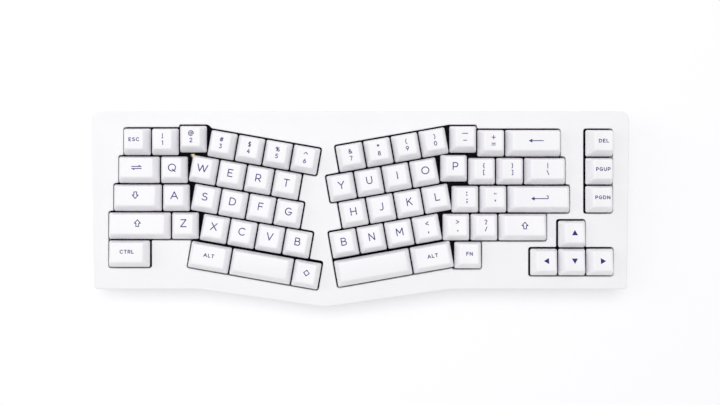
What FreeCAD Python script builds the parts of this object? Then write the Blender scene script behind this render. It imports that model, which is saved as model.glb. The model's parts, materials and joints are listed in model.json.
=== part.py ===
import FreeCAD, Part
import math
import os

# Angled ergonomic keyboard, 68 keys in two hands' blocks that turn away from each other.
# Units are millimetres and degrees. The deck frame (u right, v back, w up) lies on the top
# face of the switch plate. The finished part is tilted onto its feet: X right, Y away
# from the typist, Z up, with the origin at the middle of the footprint.

Vector = FreeCAD.Vector
Placement = FreeCAD.Placement
Rotation = FreeCAD.Rotation

os.makedirs("parts", exist_ok=True)

# Key grid
KEY_PITCH = 19.05
CLUSTER_ANGLE = 10.0
LEFT_TOP_ROW_V = 41.4
RIGHT_TOP_ROW_V = 40.45
LEFT_BLOCK_U = -171.4
LEFT_ROW_STEP = 3.42
RIGHT_ROW_U = (60.3, 54.1, 61.85, 55.75, 63.7)
LEFT_FAN_U = -103.1
LEFT_FAN_V = 40.8
LEFT_FAN_OFFSETS = (0.0, -0.5, -0.25, 0.25, 0.0)
RIGHT_FAN_U = -15.7
RIGHT_FAN_V = 29.4
RIGHT_FAN_OFFSETS = (0.0, -0.51, -0.25, -0.77, -0.77)
RIGHT_ROW_UNITS = 4.25
NAV_GAP = 10.2875
NAV_COLUMN_U = RIGHT_ROW_U[2] + RIGHT_ROW_UNITS * KEY_PITCH + NAV_GAP
ARROW_OVERHANG = 0.5
ARROW_LEFT_U = NAV_COLUMN_U + ARROW_OVERHANG - 2 * KEY_PITCH
ARROW_ROW_V = -40.5
THUMB_ROW = 4
THUMB_ROW_DROP = 0.6
RAISE_TWO = 1.8
RAISE_MINUS = 2.6
RAISE_P = 2.0

# Case outline on the deck, from the borders left round the keys
ROWS = 5
BACK_BORDER = 11.375
FRONT_BORDER = 15.075
LEFT_BORDER = 12.6
RIGHT_BORDER = 12.25
CASE_BACK_V = LEFT_TOP_ROW_V + KEY_PITCH / 2 + BACK_BORDER
CASE_FRONT_V = LEFT_TOP_ROW_V - (ROWS - 0.5) * KEY_PITCH - FRONT_BORDER
CASE_BACK_LEFT_U = LEFT_BLOCK_U - LEFT_BORDER
CASE_BACK_RIGHT_U = NAV_COLUMN_U + KEY_PITCH + RIGHT_BORDER
CASE_SIDE_TAPER = 1.9
PEAK_U = -24.0
PEAK_HALF_WIDTH = 86.2
PEAK_DEPTH = 12.3
BACK_CORNER_RADIUS = 6.0
FRONT_CORNER_RADIUS = 3.0
PEAK_BEND_RADIUS = 22.0
MIN_INNER_RADIUS = 1.0

# Case section
TYPING_ANGLE = 6.5
RIM_HEIGHT = 6.0
PEAK_RIM_Z = 18.5
SHEET_THICKNESS = 2.5
WALL = 2.6
FLOOR_THICKNESS = 2.5
PARTING_W = -3.6
EDGE_CHAMFER = 0.9
LIP_WALL = 1.2
LIP_PLATE_GAP = 0.4
WINDOW_GAP = 0.55
WINDOW_CORNER_CUT = 0.9
CORNER_CUT_SHARE = 1 / 3
RIM_EDGE_MARGIN = 0.01

# Plate and circuit board
PLATE_THICKNESS = 1.5
PLATE_INSET = 8.2
BOARD_DEPTH = 5.0
BOARD_THICKNESS = 1.6
BOARD_INSET = 8.8
SWITCH_HOLE = 14.0

# Switches
HOUSING_BODY = 13.8
HOUSING_FLANGE = 15.6
HOUSING_TOP_U = 10.6
HOUSING_TOP_V = 9.6
HOUSING_HEIGHT = 6.2
SLIDER_U = 6.4
SLIDER_V = 5.4
SLIDER_CLEARANCE = 0.1
KEY_TRAVEL = 4.0
SLIDER_DIP = 1.6
SLIDER_LENGTH = KEY_TRAVEL + SLIDER_DIP
SHAFT_END_GAP = 0.8
SKIRT_LIFT = 0.6

# Keycaps
CAP_GAP = 0.89
CAP_SIDE_INSET = 3.1
CAP_BACK_INSET = 0.7
CAP_FRONT_INSET = 4.1
CAP_CORNER = 1.1
CAP_TOP_CORNER = 1.4
CAP_WALL = 1.5
CAP_ROOF = 1.4
DISH_DEPTH = 0.55
DISH_STRIPS = 3
CAP_SPARE = 0.2
CROWN_HEIGHT = 0.8
ROW_HEIGHTS = (9.4, 8.2, 7.4, 7.2, 7.2)
ROW_TILTS = (0.0, 2.0, 4.0, 7.0, 7.0)

# Stabilisers under the wide keys
STABILISED_WIDTH = 2.0
STABILISER_REACH = 11.94
STABILISER_HOLE_U = 6.8
STABILISER_HOLE_V = 12.6
STABILISER_BODY_GAP = 0.1
STABILISER_FLANGE = 1.0
STABILISER_HEIGHT = 5.6
STABILISER_DEPTH = 3.4
STABILISER_STEM = 4.6

# Screws, bosses and feet
BOSS_INSET = 5.0
BOSS_DIAMETER = 5.6
CASE_SCREW_DIAMETER = 2.6
CASE_SCREW_HEAD = 4.6
CASE_SCREW_HEAD_HEIGHT = 1.6
CASE_SCREW_BITE = 6.0
SCREW_CLEARANCE = 0.2
PLATE_SCREW_HEAD = 3.8
PLATE_SCREW_HEAD_HEIGHT = 1.2
PLATE_SCREW_DIAMETER = 2.0
PLATE_SCREW_LENGTH = 4.6
STANDOFF_WIDTH = 4.6
STANDOFF_BOARD_GAP = 0.5
POST_DIAMETER = 6.4
POST_BOARD_GAP = 0.6
SCREW_SEAT_SKIN = 0.8
LEFT_SCREW_INSET = 2.0
NAV_SCREW_INSET = 6.7
ARROW_SCREW_INSET = 11.5
PLATE_SCREWS = (
    (-115.3, 32.1), (LEFT_BLOCK_U + LEFT_SCREW_INSET, 44.0), (-25.0, 44.5), (-126.0, -48.8), (-22.5, -60.0),
    (NAV_COLUMN_U - NAV_SCREW_INSET, 21.0), (ARROW_LEFT_U - ARROW_SCREW_INSET, -36.5),
)
BOSS_BACK_INSET = 5.5
BOSS_FRONT_INSET = 7.2
BOSSES_BACK_U = (CASE_BACK_LEFT_U + BOSS_BACK_INSET, -25.0, CASE_BACK_RIGHT_U - BOSS_BACK_INSET)
BOSSES_FRONT_U = (CASE_BACK_LEFT_U + BOSS_FRONT_INSET, -125.0, 78.0, CASE_BACK_RIGHT_U - BOSS_FRONT_INSET)
FOOT_LENGTH = 26.0
FOOT_WIDTH = 8.0
FOOT_HEIGHT = 1.6
FOOT_RECESS = 0.6
FOOT_GAP = 0.2
FOOT_INSET_U = 30.0
FOOT_BACK_INSET = 14.0
FOOT_FRONT_INSET = 12.0
ROUND_SIDES = 8

# Socket for the lead, at the back
SOCKET_U = -120.0
SOCKET_WIDTH = 8.94
SOCKET_HEIGHT = 3.26
SOCKET_LENGTH = 7.3
SOCKET_WALL = 0.35
SOCKET_TONGUE_WIDTH = 6.6
SOCKET_TONGUE_HEIGHT = 0.7
SOCKET_TONGUE_LENGTH = 5.2
SOCKET_SETBACK = 1.2
SOCKET_TAB_WIDTH = 14.0
SOCKET_TAB_GAP = 0.5
PORT_WIDTH = 12.4
PORT_HEIGHT = 6.6
PORT_SIDES_PER_END = 4


# Small shape helpers

def polygon_face(points):
    """A flat face through 3D points, in order."""
    return Part.Face(Part.makePolygon(list(points) + [points[0]]))


def skin(lower, upper):
    """A closed solid between two flat loops with the same number of points."""
    count = len(lower)
    faces = [polygon_face(lower), polygon_face(upper)]
    for i in range(count):
        j = (i + 1) % count
        faces.append(polygon_face([lower[i], lower[j], upper[j], upper[i]]))
    solid = Part.Solid(Part.Shell(faces))
    if solid.Volume < 0:
        solid.reverse()
    return solid


def cut_corner_loop(u0, u1, v0, v1, corner, w):
    """A rectangle on the deck with its four corners cut off."""
    points = [
        (u0 + corner, v0), (u1 - corner, v0), (u1, v0 + corner), (u1, v1 - corner),
        (u1 - corner, v1), (u0 + corner, v1), (u0, v1 - corner), (u0, v0 + corner),
    ]
    return [Vector(u, v, w) for u, v in points]


def block(width, depth, w0, w1):
    """An upright block centred on the w axis."""
    return Part.makeBox(width, depth, w1 - w0, Vector(-width / 2, -depth / 2, w0))


def round_loop(diameter, w, sides=ROUND_SIDES):
    """A regular loop of points that stands for a small circle."""
    step = 2 * math.pi / sides
    radius = diameter / 2
    return [Vector(radius * math.cos(i * step), radius * math.sin(i * step), w) for i in range(sides)]


def peg(diameter, w0, w1, sides=ROUND_SIDES):
    """A small upright peg or hole tool on the w axis."""
    return skin(round_loop(diameter, w0, sides), round_loop(diameter, w1, sides))


def moved(shape, u, v, angle=0.0):
    """A copy of a shape, turned about w and set down at a deck position."""
    copy = shape.copy()
    copy.Placement = Placement(Vector(u, v, 0), Rotation(Vector(0, 0, 1), angle)).multiply(copy.Placement)
    return copy


def fuse_all(shapes):
    """One solid from touching or overlapping solids."""
    return shapes[0].multiFuse(shapes[1:]).removeSplitter()


# Outlines on the deck

def signed_area(points):
    """The area inside an outline, positive where it runs anticlockwise."""
    total = 0.0
    for i in range(len(points)):
        (u0, v0) = points[i]
        (u1, v1) = points[(i + 1) % len(points)]
        total += u0 * v1 - u1 * v0
    return total / 2


def offset_outline(points, distance):
    """Each side of an anticlockwise outline moved outwards, with the corners kept sharp."""
    count = len(points)
    result = []
    for i in range(count):
        before = Vector(*points[i - 1], 0)
        here = Vector(*points[i], 0)
        after = Vector(*points[(i + 1) % count], 0)
        side_in = (here - before).normalize()
        side_out = (after - here).normalize()
        normal_in = Vector(side_in.y, -side_in.x, 0)
        normal_out = Vector(side_out.y, -side_out.x, 0)
        bisector = normal_in + normal_out
        reach = distance * 2 / bisector.Length ** 2
        corner = here + bisector * reach
        result.append((corner.x, corner.y))
    return result


def rounded_wire(points, radii, w):
    """A closed wire through an anticlockwise outline, with an arc at each corner that has a radius."""
    count = len(points)
    starts = []
    ends = []
    middles = []
    for i in range(count):
        before = Vector(*points[i - 1], w)
        here = Vector(*points[i], w)
        after = Vector(*points[(i + 1) % count], w)
        if radii[i] == 0:
            starts.append(here)
            ends.append(here)
            middles.append(here)
            continue
        back = (before - here).normalize()
        ahead = (after - here).normalize()
        half_turn = back.getAngle(ahead) / 2
        room = 0.45 * min((before - here).Length, (after - here).Length)
        reach = min(radii[i] / math.tan(half_turn), room)
        radius = reach * math.tan(half_turn)
        starts.append(here + back * reach)
        ends.append(here + ahead * reach)
        centre = here + (back + ahead).normalize() * (radius / math.sin(half_turn))
        middles.append(centre + (here - centre).normalize() * radius)
    edges = []
    for i in range(count):
        if radii[i] > 0:
            edges.append(Part.Arc(starts[i], middles[i], ends[i]).toShape())
        edges.append(Part.LineSegment(ends[i], starts[(i + 1) % count]).toShape())
    return Part.Wire(edges)


def outline_prism(points, radii, w0, w1):
    """An upright solid on a rounded outline."""
    face = Part.Face(rounded_wire(points, radii, w0))
    return face.extrude(Vector(0, 0, w1 - w0))


CASE_OUTLINE = [
    (CASE_BACK_LEFT_U + CASE_SIDE_TAPER, CASE_FRONT_V),
    (PEAK_U - PEAK_HALF_WIDTH, CASE_FRONT_V),
    (PEAK_U, CASE_FRONT_V - PEAK_DEPTH),
    (PEAK_U + PEAK_HALF_WIDTH, CASE_FRONT_V),
    (CASE_BACK_RIGHT_U - CASE_SIDE_TAPER, CASE_FRONT_V),
    (CASE_BACK_RIGHT_U, CASE_BACK_V),
    (CASE_BACK_LEFT_U, CASE_BACK_V),
]
CASE_RADII = [
    FRONT_CORNER_RADIUS, PEAK_BEND_RADIUS, PEAK_BEND_RADIUS, PEAK_BEND_RADIUS,
    FRONT_CORNER_RADIUS, BACK_CORNER_RADIUS, BACK_CORNER_RADIUS,
]


def case_prism(inset, w0, w1):
    """An upright solid on the case outline, drawn in by a distance."""
    radii = [max(radius - inset, MIN_INNER_RADIUS) for radius in CASE_RADII]
    return outline_prism(offset_outline(CASE_OUTLINE, -inset), radii, w0, w1)


# The key layout

class Key:
    """One key: its name, width in key units, place and turn on the deck, and its row."""

    def __init__(self, name, units, u, v, angle, row, raised=0.0):
        self.name = name
        self.units = units
        self.u = u
        self.v = v
        self.angle = angle
        self.row = row
        self.raised = raised

    def corner(self, side_u, side_v):
        """A corner of the key's cell on the deck; the sides are -1 or 1."""
        half_u = side_u * self.units * KEY_PITCH / 2
        half_v = side_v * KEY_PITCH / 2
        turn = math.radians(self.angle)
        return (
            self.u + half_u * math.cos(turn) - half_v * math.sin(turn),
            self.v + half_u * math.sin(turn) + half_v * math.cos(turn),
        )


def straight_row(keys, left_u, v, row):
    """Keys side by side along u; each is (name, units, raised)."""
    made = []
    u = left_u
    for name, units, raised in keys:
        width = units * KEY_PITCH
        made.append(Key(name, units, u + width / 2, v + raised, 0.0, row, raised))
        u += width
    return made


def fan_row(keys, start_u, start_v, angle, offset, row):
    """Keys side by side in a turned block; each is (name, units)."""
    made = []
    turn = math.radians(angle)
    along = offset * KEY_PITCH
    down = -row * KEY_PITCH
    raised = 0.0
    if row == THUMB_ROW:
        down -= THUMB_ROW_DROP
        raised = -THUMB_ROW_DROP
    for name, units in keys:
        width = units * KEY_PITCH
        middle = along + width / 2
        u = start_u + middle * math.cos(turn) - down * math.sin(turn)
        v = start_v + middle * math.sin(turn) + down * math.cos(turn)
        made.append(Key(name, units, u, v, angle, row, raised))
        along += width
    return made


LEFT_STRAIGHT = (
    (("escape", 1, 0), ("1", 1, 0), ("2", 1, RAISE_TWO)),
    (("tab", 1.5, 0), ("q", 1, 0)),
    (("caps", 1.75, 0), ("a", 1, 0)),
    (("left_shift", 2.25, 0), ("z", 1, 0)),
    (("control", 1.5, 0),),
)
LEFT_FAN = (
    (("3", 1), ("4", 1), ("5", 1), ("6", 1)),
    (("w", 1), ("e", 1), ("r", 1), ("t", 1)),
    (("s", 1), ("d", 1), ("f", 1), ("g", 1)),
    (("x", 1), ("c", 1), ("v", 1), ("b_left", 1)),
    (("left_alt", 1.5), ("left_space", 2.25), ("system", 1)),
)
RIGHT_FAN = (
    (("7", 1), ("8", 1), ("9", 1), ("0", 1)),
    (("y", 1), ("u", 1), ("i", 1), ("o", 1)),
    (("h", 1), ("j", 1), ("k", 1), ("l", 1)),
    (("b_right", 1), ("n", 1), ("m", 1), ("comma", 1)),
    (("right_space", 2.75), ("right_alt", 1.5)),
)
RIGHT_STRAIGHT = (
    (("minus", 1, RAISE_MINUS), ("equals", 1, 0), ("backspace", 2, 0)),
    (("p", 1, RAISE_P), ("left_bracket", 1, 0), ("right_bracket", 1, 0), ("backslash", 1.5, 0)),
    (("semicolon", 1, 0), ("quote", 1, 0), ("enter", 2.25, 0)),
    (("period", 1, 0), ("slash", 1, 0), ("right_shift", 1.75, 0)),
    (("function", 1, 0),),
)
NAV_COLUMN = ("delete", "page_up", "page_down")
ARROWS = ("arrow_left", "arrow_down", "arrow_right")
LEFT_LETTERS = ("q", "w", "e", "r", "t", "a", "s", "d", "f", "g", "z", "x", "c", "v", "b_left")
RIGHT_LETTERS = ("y", "u", "i", "o", "p", "h", "j", "k", "l", "b_right", "n", "m")


def lay_out_keys():
    """Every key of the board by name."""
    keys = []
    for row in range(ROWS):
        left_u = LEFT_BLOCK_U + LEFT_ROW_STEP * max(3 - row, 0)
        keys += straight_row(LEFT_STRAIGHT[row], left_u, LEFT_TOP_ROW_V - row * KEY_PITCH, row)
        keys += fan_row(LEFT_FAN[row], LEFT_FAN_U, LEFT_FAN_V, -CLUSTER_ANGLE, LEFT_FAN_OFFSETS[row], row)
        keys += fan_row(RIGHT_FAN[row], RIGHT_FAN_U, RIGHT_FAN_V, CLUSTER_ANGLE, RIGHT_FAN_OFFSETS[row], row)
        keys += straight_row(RIGHT_STRAIGHT[row], RIGHT_ROW_U[row], RIGHT_TOP_ROW_V - row * KEY_PITCH, row)
    for row, name in enumerate(NAV_COLUMN):
        keys += straight_row(((name, 1, 0),), NAV_COLUMN_U, RIGHT_TOP_ROW_V - row * KEY_PITCH, row)
    keys += straight_row([(name, 1, 0) for name in ARROWS], ARROW_LEFT_U, ARROW_ROW_V, 4)
    keys += straight_row((("arrow_up", 1, 0),), ARROW_LEFT_U + KEY_PITCH, ARROW_ROW_V + KEY_PITCH, 3)
    return {key.name: key for key in keys}


KEYS = lay_out_keys()


# Windows in the top case

INFILL_SIDE = 0.8


def cell_face(key):
    """The flat cell of a key, stretched back to its row where the key is raised or lowered."""
    stretch = 2 * abs(key.raised) / KEY_PITCH
    low = -1 - stretch if key.raised > 0 else -1
    high = 1 + stretch if key.raised < 0 else 1
    corners = [key.corner(-1, low), key.corner(1, low), key.corner(1, high), key.corner(-1, high)]
    return polygon_face([Vector(u, v, 0) for u, v in corners])


def infill(*corners):
    """A flat filler between points of cells: each is (key, side_u, side_v), with sides from -1 to 1."""
    return polygon_face([Vector(*KEYS[name].corner(su, sv), 0) for name, su, sv in corners])


def merged_outline(faces):
    """The anticlockwise outline of faces that touch or overlap."""
    merged = faces[0].multiFuse(faces[1:]).removeSplitter()
    largest = max(merged.Faces, key=lambda face: face.Area)
    points = [(vertex.X, vertex.Y) for vertex in largest.OuterWire.OrderedVertexes]
    if signed_area(points) < 0:
        points.reverse()
    return points


def window_outlines():
    """The outline of each key window, at the edge of the cells."""
    nav_keys = set(NAV_COLUMN)
    arrow_keys = set(ARROWS) | {"arrow_up"}
    left_names = [key[0] for row in LEFT_STRAIGHT + LEFT_FAN for key in row]
    right_names = [key[0] for row in RIGHT_STRAIGHT + RIGHT_FAN for key in row]
    left = [cell_face(KEYS[name]) for name in left_names]
    left.append(infill(("2", 1, 1), ("z", 1, -1), ("x", -1, -1), ("3", -1, 1)))
    left.append(infill(("z", 1, 1), ("z", 1, -1), ("left_alt", -1, 1), ("x", -1, -1)))
    right = [cell_face(KEYS[name]) for name in right_names]
    low = -INFILL_SIDE
    right.append(infill(("0", 1, 1), ("comma", 0, low), ("period", 0, low), ("minus", -1, 1)))
    right.append(infill(("period", 0, 0), ("right_alt", 0, 0), ("function", 0, low), ("slash", 0, 0)))
    nav = [cell_face(KEYS[name]) for name in sorted(nav_keys)]
    arrows = [cell_face(KEYS[name]) for name in sorted(arrow_keys)]
    return [merged_outline(group) for group in (left, right, nav, arrows)]


WINDOWS = window_outlines()


def is_convex_corner(points, i):
    """True where an anticlockwise outline turns left."""
    (u0, v0) = points[i - 1]
    (u1, v1) = points[i]
    (u2, v2) = points[(i + 1) % len(points)]
    return (u1 - u0) * (v2 - v1) - (v1 - v0) * (u2 - u1) > 0


def window_prism(points, growth, corner_cut, w0, w1):
    """An upright solid that fills a window, grown past the cells; outer corners may be cut off."""
    grown = offset_outline(points, growth)
    count = len(grown)
    loop = []
    for i in range(count):
        here = Vector(*grown[i], w0)
        if corner_cut > 0 and is_convex_corner(points, i):
            before = Vector(*grown[i - 1], w0) - here
            after = Vector(*grown[(i + 1) % count], w0) - here
            reach = min(corner_cut, before.Length * CORNER_CUT_SHARE, after.Length * CORNER_CUT_SHARE)
            loop.append(here + before.normalize() * reach)
            loop.append(here + after.normalize() * reach)
        else:
            loop.append(here)
    return polygon_face(loop).extrude(Vector(0, 0, w1 - w0))


# Tilt onto the desk

PEAK_V = CASE_FRONT_V - PEAK_DEPTH
TILT = math.radians(TYPING_ANGLE)
BASE_Z = PEAK_RIM_Z - PEAK_V * math.sin(TILT) - RIM_HEIGHT * math.cos(TILT)


def desk_cutter(height):
    """A block that covers everything lower than a height over the desk, in the deck frame."""
    size = 4 * CASE_BACK_RIGHT_U
    cutter = Part.makeBox(size, size, size, Vector(-size / 2, -size / 2, height - size))
    cutter.Placement = deck_placement(0.0, 0.0).inverse()
    return cutter


def deck_placement(shift_x, shift_y):
    """From the deck frame to the finished frame."""
    return Placement(Vector(shift_x, shift_y, BASE_Z), Rotation(Vector(1, 0, 0), TYPING_ANGLE))


def on_desk_plane(u, v, height):
    """The w of a point that lies at a height over the desk."""
    return (height - BASE_Z - v * math.sin(TILT)) / math.cos(TILT)


def boss_places():
    """Deck positions of the case screws, along the back and the front wall."""
    places = [(u, CASE_BACK_V - BOSS_INSET) for u in BOSSES_BACK_U]
    places += [(u, CASE_FRONT_V + BOSS_INSET) for u in BOSSES_FRONT_U]
    return places


# Top case

def make_top_case():
    """The upper shell: a thin sheet with a wall round its edge and a lip round each window."""
    shell = case_prism(0.0, PARTING_W, RIM_HEIGHT)
    rim = []
    for edge in shell.Edges:
        if edge.BoundBox.ZMin > RIM_HEIGHT - RIM_EDGE_MARGIN:
            rim.append(edge)
    shell = shell.makeChamfer(EDGE_CHAMFER, rim)
    shell = shell.cut(case_prism(WALL, PARTING_W, RIM_HEIGHT - SHEET_THICKNESS))
    sheet_w = RIM_HEIGHT - SHEET_THICKNESS
    lips = [window_prism(points, WINDOW_GAP + LIP_WALL, 0, LIP_PLATE_GAP, sheet_w) for points in WINDOWS]
    for u, v in boss_places():
        lips.append(moved(peg(BOSS_DIAMETER, PARTING_W, sheet_w), u, v))
    shell = shell.fuse(lips).removeSplitter()
    holes = []
    for points in WINDOWS:
        holes.append(window_prism(points, WINDOW_GAP, WINDOW_CORNER_CUT, LIP_PLATE_GAP, RIM_HEIGHT))
    for u, v in boss_places():
        top = PARTING_W + CASE_SCREW_BITE
        holes.append(moved(peg(CASE_SCREW_DIAMETER + SCREW_CLEARANCE, PARTING_W, top), u, v))
    holes.append(port_tool())
    return shell.cut(holes)


# Bottom case

def make_bottom_case():
    """The lower tray: a wall and a flat floor, with screw bosses and posts for the plate."""
    depth = PARTING_W - on_desk_plane(0, CASE_BACK_V, 0)
    tray = case_prism(0.0, PARTING_W - depth, PARTING_W)
    tray = tray.cut(desk_cutter(FOOT_HEIGHT - FOOT_RECESS))
    cavity = case_prism(WALL, PARTING_W - depth, PARTING_W)
    cavity = cavity.cut(desk_cutter(FOOT_HEIGHT - FOOT_RECESS + FLOOR_THICKNESS))
    tray = tray.cut(cavity)
    under = desk_cutter(FOOT_HEIGHT - FOOT_RECESS + FLOOR_THICKNESS / 2)
    additions = []
    for u, v in boss_places():
        additions.append(moved(peg(BOSS_DIAMETER, PARTING_W - depth, PARTING_W), u, v).cut(under))
    for u, v in PLATE_SCREWS:
        additions.append(moved(peg(POST_DIAMETER, PARTING_W - depth, POST_TOP_W), u, v).cut(under))
    tray = tray.fuse(additions).removeSplitter()
    holes = []
    for u, v in boss_places():
        low = on_desk_plane(u, v, 0)
        seat = screw_seat_w(u, v)
        holes.append(moved(peg(CASE_SCREW_DIAMETER + SCREW_CLEARANCE, low, PARTING_W), u, v))
        holes.append(moved(peg(CASE_SCREW_HEAD + SCREW_CLEARANCE, low - CASE_SCREW_HEAD, seat), u, v))
    for x, y in foot_places():
        holes.append(foot_block(x, y, FOOT_GAP))
    holes.append(port_tool())
    return tray.cut(holes)


POST_TOP_W = -BOARD_DEPTH - BOARD_THICKNESS - POST_BOARD_GAP


def screw_seat_w(u, v):
    """Where the head of a case screw seats, inside its boss."""
    return on_desk_plane(u, v, FOOT_HEIGHT - FOOT_RECESS + CASE_SCREW_HEAD_HEIGHT + SCREW_SEAT_SKIN)


def foot_places():
    """Desk positions of the feet, in the tilted but unshifted frame."""
    back_y = CASE_BACK_V * math.cos(TILT) - FOOT_BACK_INSET
    front_y = CASE_FRONT_V * math.cos(TILT) + FOOT_FRONT_INSET
    left_x = CASE_BACK_LEFT_U + FOOT_INSET_U
    right_x = CASE_BACK_RIGHT_U - FOOT_INSET_U
    return [(left_x, front_y), (right_x, front_y), (left_x, back_y), (right_x, back_y)]


def foot_block(x, y, gap):
    """A foot, or with a gap the shallow recess that holds it, in the deck frame."""
    half_length = FOOT_LENGTH / 2 + gap
    half_width = FOOT_WIDTH / 2 + gap
    corner = FOOT_WIDTH / 4
    sides = (x - half_length, x + half_length, y - half_width, y + half_width)
    foot = skin(cut_corner_loop(*sides, corner, 0), cut_corner_loop(*sides, corner, FOOT_HEIGHT))
    foot.Placement = deck_placement(0.0, 0.0).inverse()
    return foot


# Plate and board

def make_switch_plate():
    """The plate that holds the switches, with a square hole for each."""
    plate = case_prism(PLATE_INSET, -PLATE_THICKNESS, 0)
    holes = []
    square = block(SWITCH_HOLE, SWITCH_HOLE, -PLATE_THICKNESS, 0)
    slot = block(STABILISER_HOLE_U, STABILISER_HOLE_V, -PLATE_THICKNESS, 0)
    for key in KEYS.values():
        holes.append(moved(square, key.u, key.v, key.angle))
        for reach in stabiliser_reaches(key):
            holes.append(moved(moved(slot, reach, 0), key.u, key.v, key.angle))
    for u, v in PLATE_SCREWS:
        holes.append(moved(peg(PLATE_SCREW_DIAMETER + SCREW_CLEARANCE, -PLATE_THICKNESS, 0), u, v))
    return plate.cut(holes)


def stabiliser_reaches(key):
    """How far to each side of its middle a wide key has a stabiliser."""
    if key.units < STABILISED_WIDTH:
        return ()
    return (-STABILISER_REACH, STABILISER_REACH)


def make_circuit_board():
    """The board under the switches, with a clearance hole round each standoff."""
    low = -BOARD_DEPTH - BOARD_THICKNESS
    board = case_prism(BOARD_INSET, low, -BOARD_DEPTH)
    tab_end = CASE_BACK_V - WALL - SOCKET_TAB_GAP
    tab_start = SOCKET_BACK_V - 2 * SOCKET_LENGTH
    tab = Part.makeBox(
        SOCKET_TAB_WIDTH, tab_end - tab_start, BOARD_THICKNESS,
        Vector(SOCKET_U - SOCKET_TAB_WIDTH / 2, tab_start, low),
    )
    board = board.fuse(tab).removeSplitter()
    holes = []
    for u, v in PLATE_SCREWS:
        hole = peg(STANDOFF_WIDTH / math.cos(math.pi / 6) + 2 * STANDOFF_BOARD_GAP, low, -BOARD_DEPTH, 6)
        holes.append(moved(hole, u, v))
    return board.cut(holes)


# Switches

def guide_body(foot_size, depth, flange_size, top_size, height, stem_size, floor_w):
    """A moulded guide: a foot through the plate, a tapered top that rests on it and a shaft."""
    foot = block(*foot_size, -depth, 0)
    lower = cornered_loop(*flange_size, 0)
    upper = cornered_loop(*top_size, height)
    shaft_u, shaft_v = (side + 2 * SLIDER_CLEARANCE for side in stem_size)
    shaft = block(shaft_u, shaft_v, floor_w, height)
    return foot.fuse(skin(lower, upper)).removeSplitter().cut(shaft)


def cornered_loop(width, depth, w):
    """The four corners of a rectangle centred on the w axis."""
    half_u = width / 2
    half_v = depth / 2
    corners = ((-half_u, -half_v), (half_u, -half_v), (half_u, half_v), (-half_u, half_v))
    return [Vector(u, v, w) for u, v in corners]


def make_switch_housing():
    """One switch body, seated on the plate and the board."""
    shaft_floor_w = HOUSING_HEIGHT - SLIDER_LENGTH - KEY_TRAVEL - SHAFT_END_GAP
    return guide_body(
        (HOUSING_BODY, HOUSING_BODY), BOARD_DEPTH, (HOUSING_FLANGE, HOUSING_FLANGE),
        (HOUSING_TOP_U, HOUSING_TOP_V), HOUSING_HEIGHT, (SLIDER_U, SLIDER_V), shaft_floor_w,
    )


def make_stabiliser_housing():
    """One stabiliser guide, clipped into its own hole in the plate."""
    hole_u = STABILISER_HOLE_U - 2 * STABILISER_BODY_GAP
    hole_v = STABILISER_HOLE_V - 2 * STABILISER_BODY_GAP
    return guide_body(
        (hole_u, hole_v), STABILISER_DEPTH,
        (STABILISER_HOLE_U + STABILISER_FLANGE, STABILISER_HOLE_V + STABILISER_FLANGE),
        (hole_u, hole_v - STABILISER_FLANGE), STABILISER_HEIGHT, (STABILISER_STEM, STABILISER_STEM),
        -STABILISER_DEPTH,
    )


# Keycaps

SKIRT_W = RIM_HEIGHT + SKIRT_LIFT


def bow(half, rise):
    """Points of a shallow bow in straight strips, from -half to half, level at its ends or its middle."""
    radius = (half * half + rise * rise) / (2 * abs(rise))
    reach = math.asin(half / radius)
    points = []
    for i in range(DISH_STRIPS + 1):
        angle = reach * (2 * i / DISH_STRIPS - 1)
        drop = radius * (math.cos(angle) - math.cos(reach))
        across = radius * math.sin(angle)
        points.append((across, drop - rise if rise > 0 else -drop))
    return points


def roof_cutter(width, centre_v, height, tilt, long_bar):
    """The space over a keycap: a shallow dish across it, or a low crown along a space bar."""
    clear = 3 * KEY_PITCH
    if long_bar:
        half = KEY_PITCH / 2
        profile = bow(half, CROWN_HEIGHT)
        profile = [Vector(0, across, rise) for across, rise in profile]
        top = [Vector(0, half, KEY_PITCH), Vector(0, -half, KEY_PITCH)]
        sweep = Vector(2 * clear, 0, 0)
        start = Vector(-clear, 0, 0)
    else:
        half = width / 2 - CAP_SIDE_INSET + CAP_WALL
        profile = bow(half, -DISH_DEPTH)
        profile = [Vector(across, 0, rise) for across, rise in profile]
        top = [Vector(half, 0, KEY_PITCH), Vector(-half, 0, KEY_PITCH)]
        sweep = Vector(0, 2 * KEY_PITCH, 0)
        start = Vector(0, -KEY_PITCH, 0)
    face = polygon_face(profile + top)
    face.translate(start)
    tool = face.extrude(sweep)
    seat = Placement(Vector(0, centre_v, height), Rotation(Vector(1, 0, 0), -tilt))
    tool.Placement = seat.multiply(tool.Placement)
    return tool


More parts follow.
